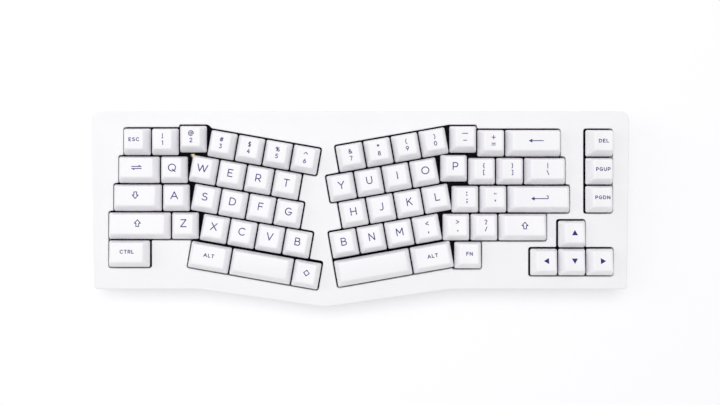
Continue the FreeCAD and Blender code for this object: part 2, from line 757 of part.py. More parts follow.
def make_key(key):
    """One key as it moves: a sloping hollow keycap with a dished roof, on its stem."""
    width = key.units * KEY_PITCH - CAP_GAP
    depth = KEY_PITCH - CAP_GAP
    long_bar = key.name in ("left_space", "right_space")
    height = ROW_HEIGHTS[key.row]
    tilt = 0.0 if long_bar else ROW_TILTS[key.row]
    low_u = width / 2
    low_v = depth / 2
    spare = DISH_DEPTH + low_v * math.sin(math.radians(tilt)) + CAP_SPARE
    full = height + spare
    grow = full / height
    top_u = low_u - CAP_SIDE_INSET * grow
    back_v = low_v - CAP_BACK_INSET * grow
    front_v = -low_v + CAP_FRONT_INSET * grow
    outer = skin(
        cut_corner_loop(-low_u, low_u, -low_v, low_v, CAP_CORNER, SKIRT_W),
        cut_corner_loop(-top_u, top_u, front_v, back_v, CAP_TOP_CORNER, SKIRT_W + full),
    )
    centre_v = (front_v + back_v) / 2
    outer = outer.cut(roof_cutter(width, centre_v, SKIRT_W + height, tilt, long_bar))
    roof = height - DISH_DEPTH - CAP_ROOF - abs(math.sin(math.radians(tilt))) * CAP_FRONT_INSET
    shrink = roof / height
    in_width = width - 2 * CAP_WALL
    in_depth = depth - 2 * CAP_WALL
    roof_width = in_width - 2 * CAP_SIDE_INSET * shrink
    roof_depth = in_depth - (CAP_FRONT_INSET + CAP_BACK_INSET) * shrink
    roof_shift = Vector(0, (CAP_FRONT_INSET - CAP_BACK_INSET) / 2 * shrink, 0)
    roof_loop = [point + roof_shift for point in cornered_loop(roof_width, roof_depth, SKIRT_W + roof)]
    shell = outer.cut(skin(cornered_loop(in_width, in_depth, SKIRT_W), roof_loop))
    low = HOUSING_HEIGHT - SLIDER_LENGTH
    stems = [block(SLIDER_U, SLIDER_V, low, SKIRT_W + roof)]
    for reach in stabiliser_reaches(key):
        stems.append(moved(block(STABILISER_STEM, STABILISER_STEM, low, SKIRT_W + roof), reach, 0))
    return shell.fuse(stems).removeSplitter()


def placed_key(key):
    """A key at its place on the deck."""
    return moved(make_key(key), key.u, key.v, key.angle)


# Fasteners

def make_plate_screw():
    """A low brass screw on the plate, on the w axis."""
    head = peg(PLATE_SCREW_HEAD, 0, PLATE_SCREW_HEAD_HEIGHT)
    shank = peg(PLATE_SCREW_DIAMETER, -PLATE_SCREW_LENGTH, 0)
    return fuse_all([head, shank])


def make_standoff():
    """A hexagonal post between the lower case and the plate, with the screw's bore."""
    across = STANDOFF_WIDTH / math.cos(math.pi / 6)
    body = peg(across, POST_TOP_W, -PLATE_THICKNESS, 6)
    bore_end = -PLATE_SCREW_LENGTH - SCREW_CLEARANCE
    bore = peg(PLATE_SCREW_DIAMETER + SCREW_CLEARANCE, bore_end, -PLATE_THICKNESS)
    return body.cut(bore)


def make_case_screws():
    """The screws that hold the two halves of the case together, from below."""
    screws = []
    for u, v in boss_places():
        seat = screw_seat_w(u, v)
        head = peg(CASE_SCREW_HEAD, seat - CASE_SCREW_HEAD_HEIGHT, seat)
        shank = peg(CASE_SCREW_DIAMETER, seat, PARTING_W + CASE_SCREW_BITE - SCREW_CLEARANCE)
        screws.append(moved(fuse_all([head, shank]), u, v))
    return screws


# Socket

SOCKET_BASE_W = -BOARD_DEPTH
SOCKET_BACK_V = CASE_BACK_V - SOCKET_SETBACK


def slot_loop(width, height, v):
    """A flat loop with half-round ends, across u and w, about the socket's middle."""
    radius = height / 2
    flat = width / 2 - radius
    middle_w = SOCKET_BASE_W + SOCKET_HEIGHT / 2
    points = []
    for side in (1, -1):
        for i in range(PORT_SIDES_PER_END + 1):
            angle = math.pi * (i / PORT_SIDES_PER_END - 0.5)
            u = side * (flat + radius * math.cos(angle))
            points.append(Vector(SOCKET_U + u, v, middle_w + side * radius * math.sin(angle)))
    return points


def slot_bar(width, height, front_v, back_v):
    """A solid bar with half-round ends that lies along v about the socket's middle."""
    return skin(slot_loop(width, height, front_v), slot_loop(width, height, back_v))


def port_tool():
    """The hole in the back wall that a plug reaches the socket through."""
    return slot_bar(PORT_WIDTH, PORT_HEIGHT, CASE_BACK_V - WALL, CASE_BACK_V)


def make_usb_socket():
    """The metal shell of the socket and its tongue, soldered to the top of the board."""
    front = SOCKET_BACK_V - SOCKET_LENGTH
    shell = slot_bar(SOCKET_WIDTH, SOCKET_HEIGHT, front, SOCKET_BACK_V)
    inner_width = SOCKET_WIDTH - 2 * SOCKET_WALL
    inner_height = SOCKET_HEIGHT - 2 * SOCKET_WALL
    back_wall = front + SOCKET_LENGTH - SOCKET_TONGUE_LENGTH - 2 * SOCKET_WALL
    hollow = slot_bar(inner_width, inner_height, back_wall, SOCKET_BACK_V)
    tongue = Part.makeBox(
        SOCKET_TONGUE_WIDTH, SOCKET_TONGUE_LENGTH, SOCKET_TONGUE_HEIGHT,
        Vector(
            SOCKET_U - SOCKET_TONGUE_WIDTH / 2, back_wall,
            SOCKET_BASE_W + SOCKET_HEIGHT / 2 - SOCKET_TONGUE_HEIGHT / 2,
        ),
    )
    return shell.cut(hollow).fuse(tongue).removeSplitter()


# Build and write

def build():
    """Every node of the keyboard as a list of solids in the deck frame."""
    nodes = {
        "top_case": [make_top_case()],
        "bottom_case": [make_bottom_case()],
        "switch_plate": [make_switch_plate()],
        "circuit_board": [make_circuit_board()],
        "usb_socket": [make_usb_socket()],
        "case_screws": make_case_screws(),
        "rubber_feet": [foot_block(x, y, 0.0) for x, y in foot_places()],
    }
    nodes["plate_screws"] = [moved(make_plate_screw(), u, v) for u, v in PLATE_SCREWS]
    nodes["plate_standoffs"] = [moved(make_standoff(), u, v) for u, v in PLATE_SCREWS]
    housing = make_switch_housing()
    nodes["switch_housings"] = [moved(housing, key.u, key.v, key.angle) for key in KEYS.values()]
    guide = make_stabiliser_housing()
    nodes["stabilizer_housings"] = []
    for key in KEYS.values():
        for reach in stabiliser_reaches(key):
            nodes["stabilizer_housings"].append(moved(moved(guide, reach, 0), key.u, key.v, key.angle))
    nodes["left_letter_keys"] = []
    nodes["right_letter_keys"] = []
    for key in KEYS.values():
        if key.name in LEFT_LETTERS:
            nodes["left_letter_keys"].append(placed_key(key))
        elif key.name in RIGHT_LETTERS:
            nodes["right_letter_keys"].append(placed_key(key))
        else:
            nodes["key_" + key.name] = [placed_key(key)]
    return nodes


def write(nodes):
    """Tilts each node onto the desk, centres the footprint and writes one file for each."""
    case = nodes["top_case"][0].copy()
    case.Placement = deck_placement(0.0, 0.0)
    tray = nodes["bottom_case"][0].copy()
    tray.Placement = deck_placement(0.0, 0.0)
    box = case.BoundBox
    box.add(tray.BoundBox)
    placement = deck_placement(-box.Center.x, -box.Center.y)
    for name, solids in nodes.items():
        shape = solids[0] if len(solids) == 1 else Part.makeCompound(solids)
        shape = shape.copy()
        shape.Placement = placement.multiply(shape.Placement)
        shape.exportStep("parts/" + name + ".step")
        print(name, len(shape.Solids), round(shape.Volume, 1), shape.isValid())
    print("deck shift", round(placement.Base.x, 4), round(placement.Base.y, 4), round(placement.Base.z, 4))


write(build())
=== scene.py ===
# %% [markdown]
# # An angled ergonomic keyboard
# The board is a white two-part case with 68 white keycaps in two turned blocks, a navigation
# column and an arrow cluster. The CAD model fixes where everything is. This lesson dresses it:
# finer keycaps with draped legends, a rounded top case, turned screws and a material for
# every surface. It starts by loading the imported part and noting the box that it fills.

# %% Load the frame
import bmesh
import bpy
import json
import math
from collections import namedtuple
from mathutils import Matrix, Vector
from mathutils.geometry import tessellate_polygon

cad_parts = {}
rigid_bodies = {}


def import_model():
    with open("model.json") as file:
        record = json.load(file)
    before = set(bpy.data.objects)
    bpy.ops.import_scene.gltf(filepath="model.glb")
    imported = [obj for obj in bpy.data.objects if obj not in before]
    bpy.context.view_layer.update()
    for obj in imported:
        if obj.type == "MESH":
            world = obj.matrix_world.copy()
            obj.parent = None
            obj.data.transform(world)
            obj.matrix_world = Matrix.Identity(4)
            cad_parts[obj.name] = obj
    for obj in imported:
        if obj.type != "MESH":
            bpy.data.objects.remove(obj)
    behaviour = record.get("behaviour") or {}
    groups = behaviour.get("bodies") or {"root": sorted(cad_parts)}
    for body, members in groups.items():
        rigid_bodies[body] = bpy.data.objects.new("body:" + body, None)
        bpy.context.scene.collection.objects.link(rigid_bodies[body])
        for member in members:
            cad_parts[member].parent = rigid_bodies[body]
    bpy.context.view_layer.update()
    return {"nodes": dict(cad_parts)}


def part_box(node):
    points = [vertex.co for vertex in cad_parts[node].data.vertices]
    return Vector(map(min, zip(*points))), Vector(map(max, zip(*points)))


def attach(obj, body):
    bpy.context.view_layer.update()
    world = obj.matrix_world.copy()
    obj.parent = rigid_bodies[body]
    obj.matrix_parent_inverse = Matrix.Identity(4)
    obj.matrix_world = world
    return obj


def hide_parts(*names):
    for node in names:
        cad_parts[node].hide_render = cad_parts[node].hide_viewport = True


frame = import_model()


# %% [markdown]
# ## The deck frame
# The keys lie on a deck that tilts 6.5 degrees towards the typist. It is easier to think in
# deck millimetres, with u to the right, v to the back and w up from the switch plate, and to
# turn each finished mesh into the room's metres at the end. One matrix does that.

# %% Deck to room
TYPING_ANGLE = math.radians(6.5)
DECK_ORIGIN = Vector((-0.2, 3.3263, 20.6552))
MM = 0.001
DECK_TO_ROOM = Matrix.Scale(MM, 4) @ Matrix.Translation(DECK_ORIGIN) @ Matrix.Rotation(TYPING_ANGLE, 4, "X")
ROOM_TO_DECK = DECK_TO_ROOM.inverted()
plate_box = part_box("switch_plate")
print("plate in the room", [round(x, 4) for corner in plate_box for x in corner])


# %% [markdown]
# ## Small tools
# Most shapes here are lofts: rings of places, joined by four-sided faces. A few helpers close
# and join such meshes and mark their sharp edges by angle. A finished piece is a plain mesh
# whose object sits at the origin. The last step turns it to the room, sets it on its body and
# hides the nodes that it stands for.

# %% Piece helpers
SHARP_ANGLE = math.radians(38)


def mesh_from_bmesh(bm, name):
    """A bmesh as a mesh, normals outwards, smooth but for the edges over the sharp angle."""
    bmesh.ops.recalc_face_normals(bm, faces=bm.faces)
    for face in bm.faces:
        face.smooth = True
    for edge in bm.edges:
        if len(edge.link_faces) == 2 and edge.calc_face_angle(0.0) > SHARP_ANGLE:
            edge.smooth = False
    mesh = bpy.data.meshes.new(name)
    bm.to_mesh(mesh)
    bm.free()
    return mesh


def smoothed(mesh):
    """A mesh again, with its normals and its sharp edges worked out anew."""
    bm = bmesh.new()
    bm.from_mesh(mesh)
    materials = list(mesh.materials)
    mesh = mesh_from_bmesh(bm, mesh.name)
    for material in materials:
        mesh.materials.append(material)
    return mesh


def set_material(mesh, material):
    """Gives a mesh one material and no other."""
    mesh.materials.clear()
    mesh.materials.append(material)


def bridge(bm, rings):
    """Four-sided faces between each ring of vertices and the next."""
    for lower, upper in zip(rings, rings[1:]):
        for i in range(len(lower)):
            j = (i + 1) % len(lower)
            bm.faces.new((lower[i], lower[j], upper[j], upper[i]))


def closed_loft(bm, rings):
    """Rings of places joined into a closed solid with flat ends."""
    made = [[bm.verts.new(place) for place in ring] for ring in rings]
    bridge(bm, made)
    bm.faces.new(made[0])
    bm.faces.new(made[-1])


def new_object(name, data):
    """A new object in the scene that shows a mesh, curve, lamp or camera."""
    obj = bpy.data.objects.new(name, data)
    bpy.context.scene.collection.objects.link(obj)
    return obj


def poly_curve(name, lines):
    """A curve object in the plane, with straight pieces between the (x, y) places of each line."""
    curve = bpy.data.curves.new(name, "CURVE")
    curve.dimensions = "3D"
    for line in lines:
        spline = curve.splines.new("POLY")
        spline.points.add(len(line) - 1)
        for point, (x, y) in zip(spline.points, line):
            point.co = (x, y, 0.0, 1.0)
    return new_object(name, curve)


def finished_piece(name, mesh, body, nodes):
    """Sets a deck mesh into the room as a piece that rides on a body and replaces its nodes."""
    mesh.transform(DECK_TO_ROOM)
    mesh.name = name
    piece = new_object(name, mesh)
    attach(piece, body)
    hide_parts(*nodes)


def join_meshes(name, parts):
    """One mesh from several, each given as (mesh, material)."""
    bm = bmesh.new()
    materials = []
    for mesh, material in parts:
        if material not in materials:
            materials.append(material)
        first = len(bm.faces)
        bm.from_mesh(mesh)
        bm.faces.ensure_lookup_table()
        for face in bm.faces[first:]:
            face.material_index = materials.index(material)
    joined = bpy.data.meshes.new(name)
    bm.to_mesh(joined)
    bm.free()
    for material in materials:
        joined.materials.append(material)
    return joined


def evaluated_mesh(obj):
    """The plain mesh that an object's modifiers give; the object itself is removed."""
    bpy.context.view_layer.update()
    graph = bpy.context.evaluated_depsgraph_get()
    mesh = bpy.data.meshes.new_from_object(obj.evaluated_get(graph))
    data = obj.data
    bpy.data.objects.remove(obj)
    if isinstance(data, bpy.types.Curve):
        bpy.data.curves.remove(data)
    return mesh


# %% [markdown]
# ## Materials
# A node tree is easiest to read when each node is made in one line. So one function adds a
# node, and each of its inputs takes a plain value or the socket that feeds it. Five more make
# what the finishes here are built from: a noise with grains of a real size, a value spread
# over a range, a mix of two colours, a shallow relief and the shader itself. Colours are
# written as sRGB hex values, as they are seen, and one function turns them to the linear
# values that the shader wants.

# %% Colour and node helpers
def linear(hex_colour):
    """An sRGB hex colour as linear RGBA."""
    channels = [int(hex_colour[i:i + 2], 16) / 255 for i in (1, 3, 5)]
    return tuple(c / 12.92 if c <= 0.04045 else ((c + 0.055) / 1.055) ** 2.4 for c in channels) + (1.0,)


def add_node(tree, kind, inputs=None, **settings):
    """Adds a node with its settings; an input takes a value or the socket that feeds it."""
    node = tree.nodes.new(kind)
    for key, value in settings.items():
        setattr(node, key, value)
    for name, value in (inputs or {}).items():
        if isinstance(value, bpy.types.NodeSocket):
            tree.links.new(value, node.inputs[name])
        else:
            node.inputs[name].default_value = value
    return node


def live(sockets, name):
    """The socket of that name that is in use; some nodes have one for each data type."""
    return next(socket for socket in sockets if socket.name == name and socket.enabled)


def maths(tree, operation, first, second):
    """The result of an arithmetic step on two values or sockets."""
    return add_node(tree, "ShaderNodeMath", {0: first, 1: second}, operation=operation).outputs["Value"]


def new_material(name):
    """A material with an empty tree, and the socket that gives each point's own place."""
    material = bpy.data.materials.new(name)
    material.use_nodes = True
    tree = material.node_tree
    tree.nodes.clear()
    return material, tree, add_node(tree, "ShaderNodeTexCoord").outputs["Object"]


def per_mm(size_mm):
    """The scale of a texture whose grains are a size in millimetres, on Object coordinates."""
    return 1 / (size_mm * MM)


def noise(tree, place, size_mm, **inputs):
    """A noise from 0 to 1 with grains of a size in millimetres."""
    inputs |= {"Vector": place, "Scale": per_mm(size_mm)}
    return add_node(tree, "ShaderNodeTexNoise", inputs).outputs["Fac"]


def spread(tree, value, low, high):
    """A value from 0 to 1 spread over a range."""
    inputs = {"Value": value, "To Min": low, "To Max": high}
    return add_node(tree, "ShaderNodeMapRange", inputs).outputs["Result"]


def relief(tree, height, strength, depth_mm):
    """The normal of a surface with a shallow relief."""
    inputs = {"Height": height, "Strength": strength, "Distance": depth_mm * MM}
    return add_node(tree, "ShaderNodeBump", inputs).outputs["Normal"]


def mixed(tree, factor, first, second):
    """A mix of two hex colours, driven by a factor socket."""
    mix = add_node(tree, "ShaderNodeMix", {"Factor": factor}, data_type="RGBA")
    colours = [socket for socket in mix.inputs if socket.type == "RGBA"]
    colours[0].default_value = linear(first)
    colours[1].default_value = linear(second)
    return next(socket for socket in mix.outputs if socket.type == "RGBA")


def surface(tree, inputs):
    """Ends a material's tree with its shader."""
    shader = add_node(tree, "ShaderNodeBsdfPrincipled", inputs)
    add_node(tree, "ShaderNodeOutputMaterial", {"Surface": shader.outputs["BSDF"]})


# %% [markdown]
# ### Moulded plastics
# The case is injection-moulded ABS from a spark-eroded mould: white, matt, with a sand-like
# grain about 0.2 mm wide that breaks up its highlights. The caps are PBT, which is whiter,
# harder and a little coarser, with a dry, fine-grained touch. Both colours drift very
# slightly, because pigment is never mixed perfectly even. The grain is drawn at 0.3 mm, a
# little coarser than it is, so that it shows in a close render.

# %% Moulded plastic
DRIFT_MM = 22


def moulded_plastic(name, light, dark, roughness, grain_mm, bump, ior=1.5, shine=0.5):
    """A matt moulded plastic: two near shades, a fine grain and a faint change of gloss."""
    material, tree, place = new_material(name)
    drift = noise(tree, place, DRIFT_MM, Detail=3.0)
    grain = noise(tree, place, grain_mm, Detail=4.0, Roughness=0.6)
    surface(tree, {
        "Base Color": mixed(tree, drift, light, dark), "IOR": ior, "Specular IOR Level": shine,
        "Roughness": spread(tree, grain, roughness - 0.05, roughness + 0.06),
        "Normal": relief(tree, grain, strength=bump, depth_mm=0.02),
    })
    return material


CASE_PLASTIC = moulded_plastic("spark_grained_white_abs", "#F6F6F8", "#F1F1F4", 0.48, 0.3, 0.35)
CAP_PLASTIC = moulded_plastic("fine_grained_white_pbt", "#F7F6F9", "#F2F1F5", 0.42, 0.35, 0.45, ior=1.57)
LEGEND_INK = moulded_plastic("dye_sublimated_indigo", "#281B70", "#32247C", 0.5, 0.35, 0.3, shine=0.3)
SWITCH_NYLON = moulded_plastic("moulded_dark_nylon", "#100E19", "#0B0913", 0.5, 0.4, 0.4, shine=0.15)
FOOT_RUBBER = moulded_plastic("matt_moulded_rubber", "#2B2B2E", "#232326", 0.85, 0.5, 0.8)
print("plastics", [m.name for m in bpy.data.materials])


# %% [markdown]
# ### Metals and coatings
# The switch plate is steel under a dark navy powder coat, which dries with an orange-peel
# skin of dimples about 0.8 mm across. The small screws are turned brass and zinc-plated
# steel, and the socket's shell is stamped, nickel-plated steel with fine drawn lines.

# %% Powder coat and metals
PEEL_MM = 0.8
SPECK_MM = 0.3
LINE_STRETCH = (0.15, 1.0, 1.0)


def powder_coat(name, light, dark):
    """A baked powder coat: dark, matt, with orange-peel dimples and tiny specks."""
    material, tree, place = new_material(name)
    peel = noise(tree, place, PEEL_MM, Detail=1.5)
    specks = add_node(tree, "ShaderNodeTexVoronoi", {"Vector": place, "Scale": per_mm(SPECK_MM)})
    surface(tree, {
        "Base Color": mixed(tree, specks.outputs["Distance"], dark, light), "Roughness": 0.5,
        "Specular IOR Level": 0.12, "Normal": relief(tree, peel, strength=0.5, depth_mm=0.03),
    })
    return material


def worked_metal(name, light, dark, roughness, line_mm):
    """A plated or turned metal: fine tool lines that vary its shade, gloss and relief."""
    material, tree, place = new_material(name)
    stretched = add_node(tree, "ShaderNodeMapping", {"Vector": place, "Scale": LINE_STRETCH})
    lines = noise(tree, stretched.outputs["Vector"], line_mm, Detail=5.0)
    surface(tree, {
        "Base Color": mixed(tree, lines, dark, light), "Metallic": 1.0,
        "Roughness": spread(tree, lines, roughness - 0.06, roughness + 0.08),
        "Normal": relief(tree, lines, strength=0.25, depth_mm=0.01),
    })
    return material


PLATE_COAT = powder_coat("navy_powder_coat", "#0F0C22", "#070512")
BRASS = worked_metal("turned_brass", "#F0DDB6", "#CDB183", 0.28, 0.12)
ZINC = worked_metal("zinc_plated_steel", "#B9BBC0", "#8F9298", 0.34, 0.15)
NICKEL = worked_metal("drawn_nickel_plate", "#C9C8C5", "#A9A8A6", 0.25, 0.1)
print("metals", PLATE_COAT.name, BRASS.name, ZINC.name, NICKEL.name)


# %% [markdown]
# ### Circuit board
# The board is glass-filled resin under a solder mask. Copper tracks show through the mask as
# a slightly lighter raised pattern, here a brick pattern of tracks about a millimetre wide.

# %% Solder mask
TRACK_GRID_MM = 9.0


def solder_mask(name):
    """A glossy dark mask over a pattern of tracks."""
    material, tree, place = new_material(name)
    tracks = add_node(tree, "ShaderNodeTexBrick", {
        "Vector": place, "Scale": per_mm(TRACK_GRID_MM), "Color1": linear("#0B0D1C"),
        "Color2": linear("#0D0F20"), "Mortar": linear("#1A1D3A"), "Mortar Size": 0.06, "Brick Width": 1.2,
        "Row Height": 0.35,
    })
    surface(tree, {
        "Base Color": tracks.outputs["Color"], "Roughness": 0.3,
        "Normal": relief(tree, tracks.outputs["Fac"], strength=0.3, depth_mm=0.03),
    })
    return material


NODE_FINISHES = {
    "switch_plate": PLATE_COAT, "circuit_board": solder_mask("dark_solder_mask"), "plate_standoffs": BRASS,
    "switch_housings": SWITCH_NYLON, "stabilizer_housings": SWITCH_NYLON,
}
for node, finish in NODE_FINISHES.items():
    set_material(frame["nodes"][node].data, finish)
print("finished nodes", len(NODE_FINISHES))


# %% [markdown]
# ## The key layout
# The keys stand on a 19.05 mm grid. Two inner blocks are turned 10 degrees, one each way,
# and the outer columns stay straight. The rows below repeat the rules that placed the CAD
# keys, so each cap and each legend knows its own place, turn, width and row.

# %% Key places
PITCH = 19.05
TURN = 10.0
LEFT_STRAIGHT = (
    (("escape", 1, 0), ("1", 1, 0), ("2", 1, 1.8)),
    (("tab", 1.5, 0), ("q", 1, 0)),
    (("caps", 1.75, 0), ("a", 1, 0)),
    (("left_shift", 2.25, 0), ("z", 1, 0)),
    (("control", 1.5, 0),),
)
LEFT_FAN = (
    (("3", 1), ("4", 1), ("5", 1), ("6", 1)),
    (("w", 1), ("e", 1), ("r", 1), ("t", 1)),
    (("s", 1), ("d", 1), ("f", 1), ("g", 1)),
    (("x", 1), ("c", 1), ("v", 1), ("b_left", 1)),
    (("left_alt", 1.5), ("left_space", 2.25), ("system", 1)),
)
RIGHT_FAN = (
    (("7", 1), ("8", 1), ("9", 1), ("0", 1)),
    (("y", 1), ("u", 1), ("i", 1), ("o", 1)),
    (("h", 1), ("j", 1), ("k", 1), ("l", 1)),
    (("b_right", 1), ("n", 1), ("m", 1), ("comma", 1)),
    (("right_space", 2.75), ("right_alt", 1.5)),
)
RIGHT_STRAIGHT = (
    (("minus", 1, 2.6), ("equals", 1, 0), ("backspace", 2, 0)),
    (("p", 1, 2.0), ("left_bracket", 1, 0), ("right_bracket", 1, 0), ("backslash", 1.5, 0)),
    (("semicolon", 1, 0), ("quote", 1, 0), ("enter", 2.25, 0)),
    (("period", 1, 0), ("slash", 1, 0), ("right_shift", 1.75, 0)),
    (("function", 1, 0),),
)
NAV_COLUMN = ("delete", "page_up", "page_down")
LOW_ARROWS = (("arrow_left", 1, 0), ("arrow_down", 1, 0), ("arrow_right", 1, 0))
LEFT_EDGE_U = -171.4
LEFT_STAGGER = 3.42
STAGGERED_ROWS = 3
LEFT_TOP_V = 41.4
RIGHT_ROW_U = (60.3, 54.1, 61.85, 55.75, 63.7)
RIGHT_TOP_V = 40.45
NAV_U = 153.1
ARROWS_U = 115.5
ARROWS_V = -40.5
LEFT_FAN_START = Vector((-103.1, 40.8))
LEFT_FAN_OFFSETS = (0.0, -0.5, -0.25, 0.25, 0.0)
RIGHT_FAN_START = Vector((-15.7, 29.4))
RIGHT_FAN_OFFSETS = (0.0, -0.51, -0.25, -0.77, -0.77)
THUMB_ROW = 4
THUMB_ROW_DROP = 0.6
LETTER_BANKS = {
    "left_letter_keys": ("q", "w", "e", "r", "t", "a", "s", "d", "f", "g", "z", "x", "c", "v", "b_left"),
    "right_letter_keys": ("y", "u", "i", "o", "p", "h", "j", "k", "l", "b_right", "n", "m"),
}
Key = namedtuple("Key", "units u v turn row")


def straight_row(row_keys, u, v, row):
    """Places (name, units, raised) keys side by side, from a left edge."""
    placed = {}
    for name, units, raised in row_keys:
        width = units * PITCH
        placed[name] = Key(units, u + width / 2, v + raised, 0.0, row)
        u += width
    return placed


def fan_row(row_keys, start, turn, offset, row):
    """Places (name, units) keys side by side in a turned block."""
    placed = {}
    rotation = Matrix.Rotation(math.radians(turn), 2)
    along = offset * PITCH
    down = -row * PITCH - (THUMB_ROW_DROP if row == THUMB_ROW else 0.0)
    for name, units in row_keys:
        width = units * PITCH
        middle = start + rotation @ Vector((along + width / 2, down))
        placed[name] = Key(units, middle.x, middle.y, turn, row)
        along += width
    return placed


KEYS = {}
for row in range(len(LEFT_STRAIGHT)):
    left_u = LEFT_EDGE_U + LEFT_STAGGER * max(STAGGERED_ROWS - row, 0)
    KEYS |= straight_row(LEFT_STRAIGHT[row], left_u, LEFT_TOP_V - row * PITCH, row)
    KEYS |= fan_row(LEFT_FAN[row], LEFT_FAN_START, -TURN, LEFT_FAN_OFFSETS[row], row)
    KEYS |= fan_row(RIGHT_FAN[row], RIGHT_FAN_START, TURN, RIGHT_FAN_OFFSETS[row], row)
    KEYS |= straight_row(RIGHT_STRAIGHT[row], RIGHT_ROW_U[row], RIGHT_TOP_V - row * PITCH, row)
for row, name in enumerate(NAV_COLUMN):
    KEYS |= straight_row(((name, 1, 0),), NAV_U, RIGHT_TOP_V - row * PITCH, row)
KEYS |= straight_row(LOW_ARROWS, ARROWS_U, ARROWS_V, THUMB_ROW)
KEYS |= straight_row((("arrow_up", 1, 0),), ARROWS_U + PITCH, ARROWS_V + PITCH, THUMB_ROW - 1)
banked = {name for names in LETTER_BANKS.values() for name in names}
BODY_KEYS = LETTER_BANKS | {"key_" + name: (name,) for name in KEYS if name not in banked}
print("keys", len(KEYS), "moving bodies", len(BODY_KEYS))


# %% [markdown]
# ## One keycap
# A cap is a hollow, tapering block. Its front face leans back most and its back hardly at
# all. Its left and right flanks bow out a little on their way up to the top, which is a
# shallow dish across the key. The top slopes differently in each row, so that the rows form
# a gentle bowl. The space bars have a low crown instead of a dish.
#
# The cap is lofted from rings of points on rounded rectangles: up the skirt, round the soft
# top edge and then inwards over the dish. Every ring has the same number of points, so
# neighbouring rings join with four-sided faces, which shade smoothly.

# %% Cap shape rules
SKIRT_W = 6.6
CAP_GAP = 0.89
SIDE_INSET = 3.1
SIDE_BOW = 1.45
BACK_INSET = 0.7
FRONT_INSET = 4.5
DISH_DEPTH = 0.55
CROWN = 0.8
CAP_WALL = 1.5
CAP_ROOF = 1.4
ROW_HEIGHTS = (9.4, 8.2, 7.4, 7.2, 7.2)
ROW_TILTS = (0.0, 2.0, 4.0, 7.0, 7.0)
TOP_CENTRE_V = (FRONT_INSET - BACK_INSET) / 2
SOFT_EDGE = 0.7
SKIRT_CORNER = 1.2
SKIRT_NIP = 0.25
TOP_CORNER = 1.5
CORNER_PULL = 0.5
CORNER_STEPS = 5
SIDE_STEPS = 6
STEPS_PER_UNIT = 8
SPACE_BARS = ("left_space", "right_space")
CapKind = namedtuple("CapKind", "units row bar")


def kind_of(name):
    """The kind of cap that a key takes."""
    return CapKind(KEYS[name].units, KEYS[name].row, name in SPACE_BARS)


def half_width(units):
    """Half the width of a cap's skirt."""
    return (units * PITCH - CAP_GAP) / 2


def steps_across(units):
    """How many faces a cap's long side is divided into."""
    return max(SIDE_STEPS, round(STEPS_PER_UNIT * units))


def arc_radius(half, rise):
    """The radius of an arc with a half width and a rise."""
    return (half * half + rise * rise) / (2 * rise)


def top_height(kind, u, v):
    """The height of a cap's top over the deck, at a point measured from the key's middle."""
    height = SKIRT_W + ROW_HEIGHTS[kind.row]
    if kind.bar:
        radius = arc_radius(PITCH / 2, CROWN)
        return height - radius + math.sqrt(radius * radius - (v - TOP_CENTRE_V) ** 2)
    half = half_width(kind.units) - SIDE_INSET + CAP_WALL
    radius = arc_radius(half, DISH_DEPTH)
    dish = radius - DISH_DEPTH - math.sqrt(radius * radius - min(abs(u), half) ** 2)
    return height + dish - (v - TOP_CENTRE_V) * math.tan(math.radians(ROW_TILTS[kind.row]))


def rounded_rectangle(half_u, v_front, v_back, corner, steps_u, steps_v):
    """Points round a rectangle with round corners, anticlockwise, with its sides divided."""
    points = []
    centres = ((half_u - corner, v_back - corner), (-half_u + corner, v_back - corner),
               (-half_u + corner, v_front + corner), (half_u - corner, v_front + corner))
    for quarter, (cu, cv) in enumerate(centres):
        for step in range(CORNER_STEPS + 1):
            angle = math.pi / 2 * (quarter + step / CORNER_STEPS)
            points.append(Vector((cu + corner * math.cos(angle), cv + corner * math.sin(angle))))
        ahead = centres[(quarter + 1) % 4]
        angle = math.pi / 2 * (quarter + 1)
        start = points[-1]
        end = Vector(ahead) + Vector((math.cos(angle), math.sin(angle))) * corner
        steps = steps_u if quarter % 2 == 0 else steps_v
        points += [start.lerp(end, i / steps) for i in range(1, steps)]
    return points


print("top of Q at its middle", round(top_height(kind_of("q"), 0, TOP_CENTRE_V), 2))


# %% Loft one cap
SIDE_RISES = (0.0, 0.03, 0.2, 0.4, 0.6, 0.8, 1.0)
EDGE_ANGLES = (22, 45, 68, 90)
DISH_SHARES = (0.88, 0.72, 0.54, 0.34, 0.14)
HOLLOW_CORNER = 0.6
STEM_FOOT_W = 0.6
STEM_CORNER = 0.5
STEM_INTO_ROOF = 0.3
STEM_WIDTH = 6.4
STEM_DEPTH = 5.4
GUIDE_SIZE = 4.6
GUIDE_REACH = 11.94
GUIDED_UNITS = 2


def cap_ring(kind, rise, inward):
    """A ring on the cap's side, at a share of its height, or drawn inwards round the soft edge."""
    half_u = half_width(kind.units)
    half_v = half_width(1)
    height = ROW_HEIGHTS[kind.row]
    share = rise * (height - SOFT_EDGE) / height + (inward * SOFT_EDGE / height)
    corner = SKIRT_CORNER + (TOP_CORNER - SKIRT_CORNER) * rise
    drawn_in = SOFT_EDGE * (1 - math.sqrt(max(1 - inward * inward, 0.0)))
    return rounded_rectangle(
        half_u - SIDE_INSET * share ** SIDE_BOW - drawn_in, -half_v + FRONT_INSET * share + drawn_in,
        half_v - BACK_INSET * share - drawn_in, corner - CORNER_PULL * drawn_in,
        steps_across(kind.units), SIDE_STEPS,
    )


def on_top(kind, u, v, below=0.0):
    """A place on a cap's top, or a little below it."""
    return Vector((u, v, top_height(kind, u, v) - below))


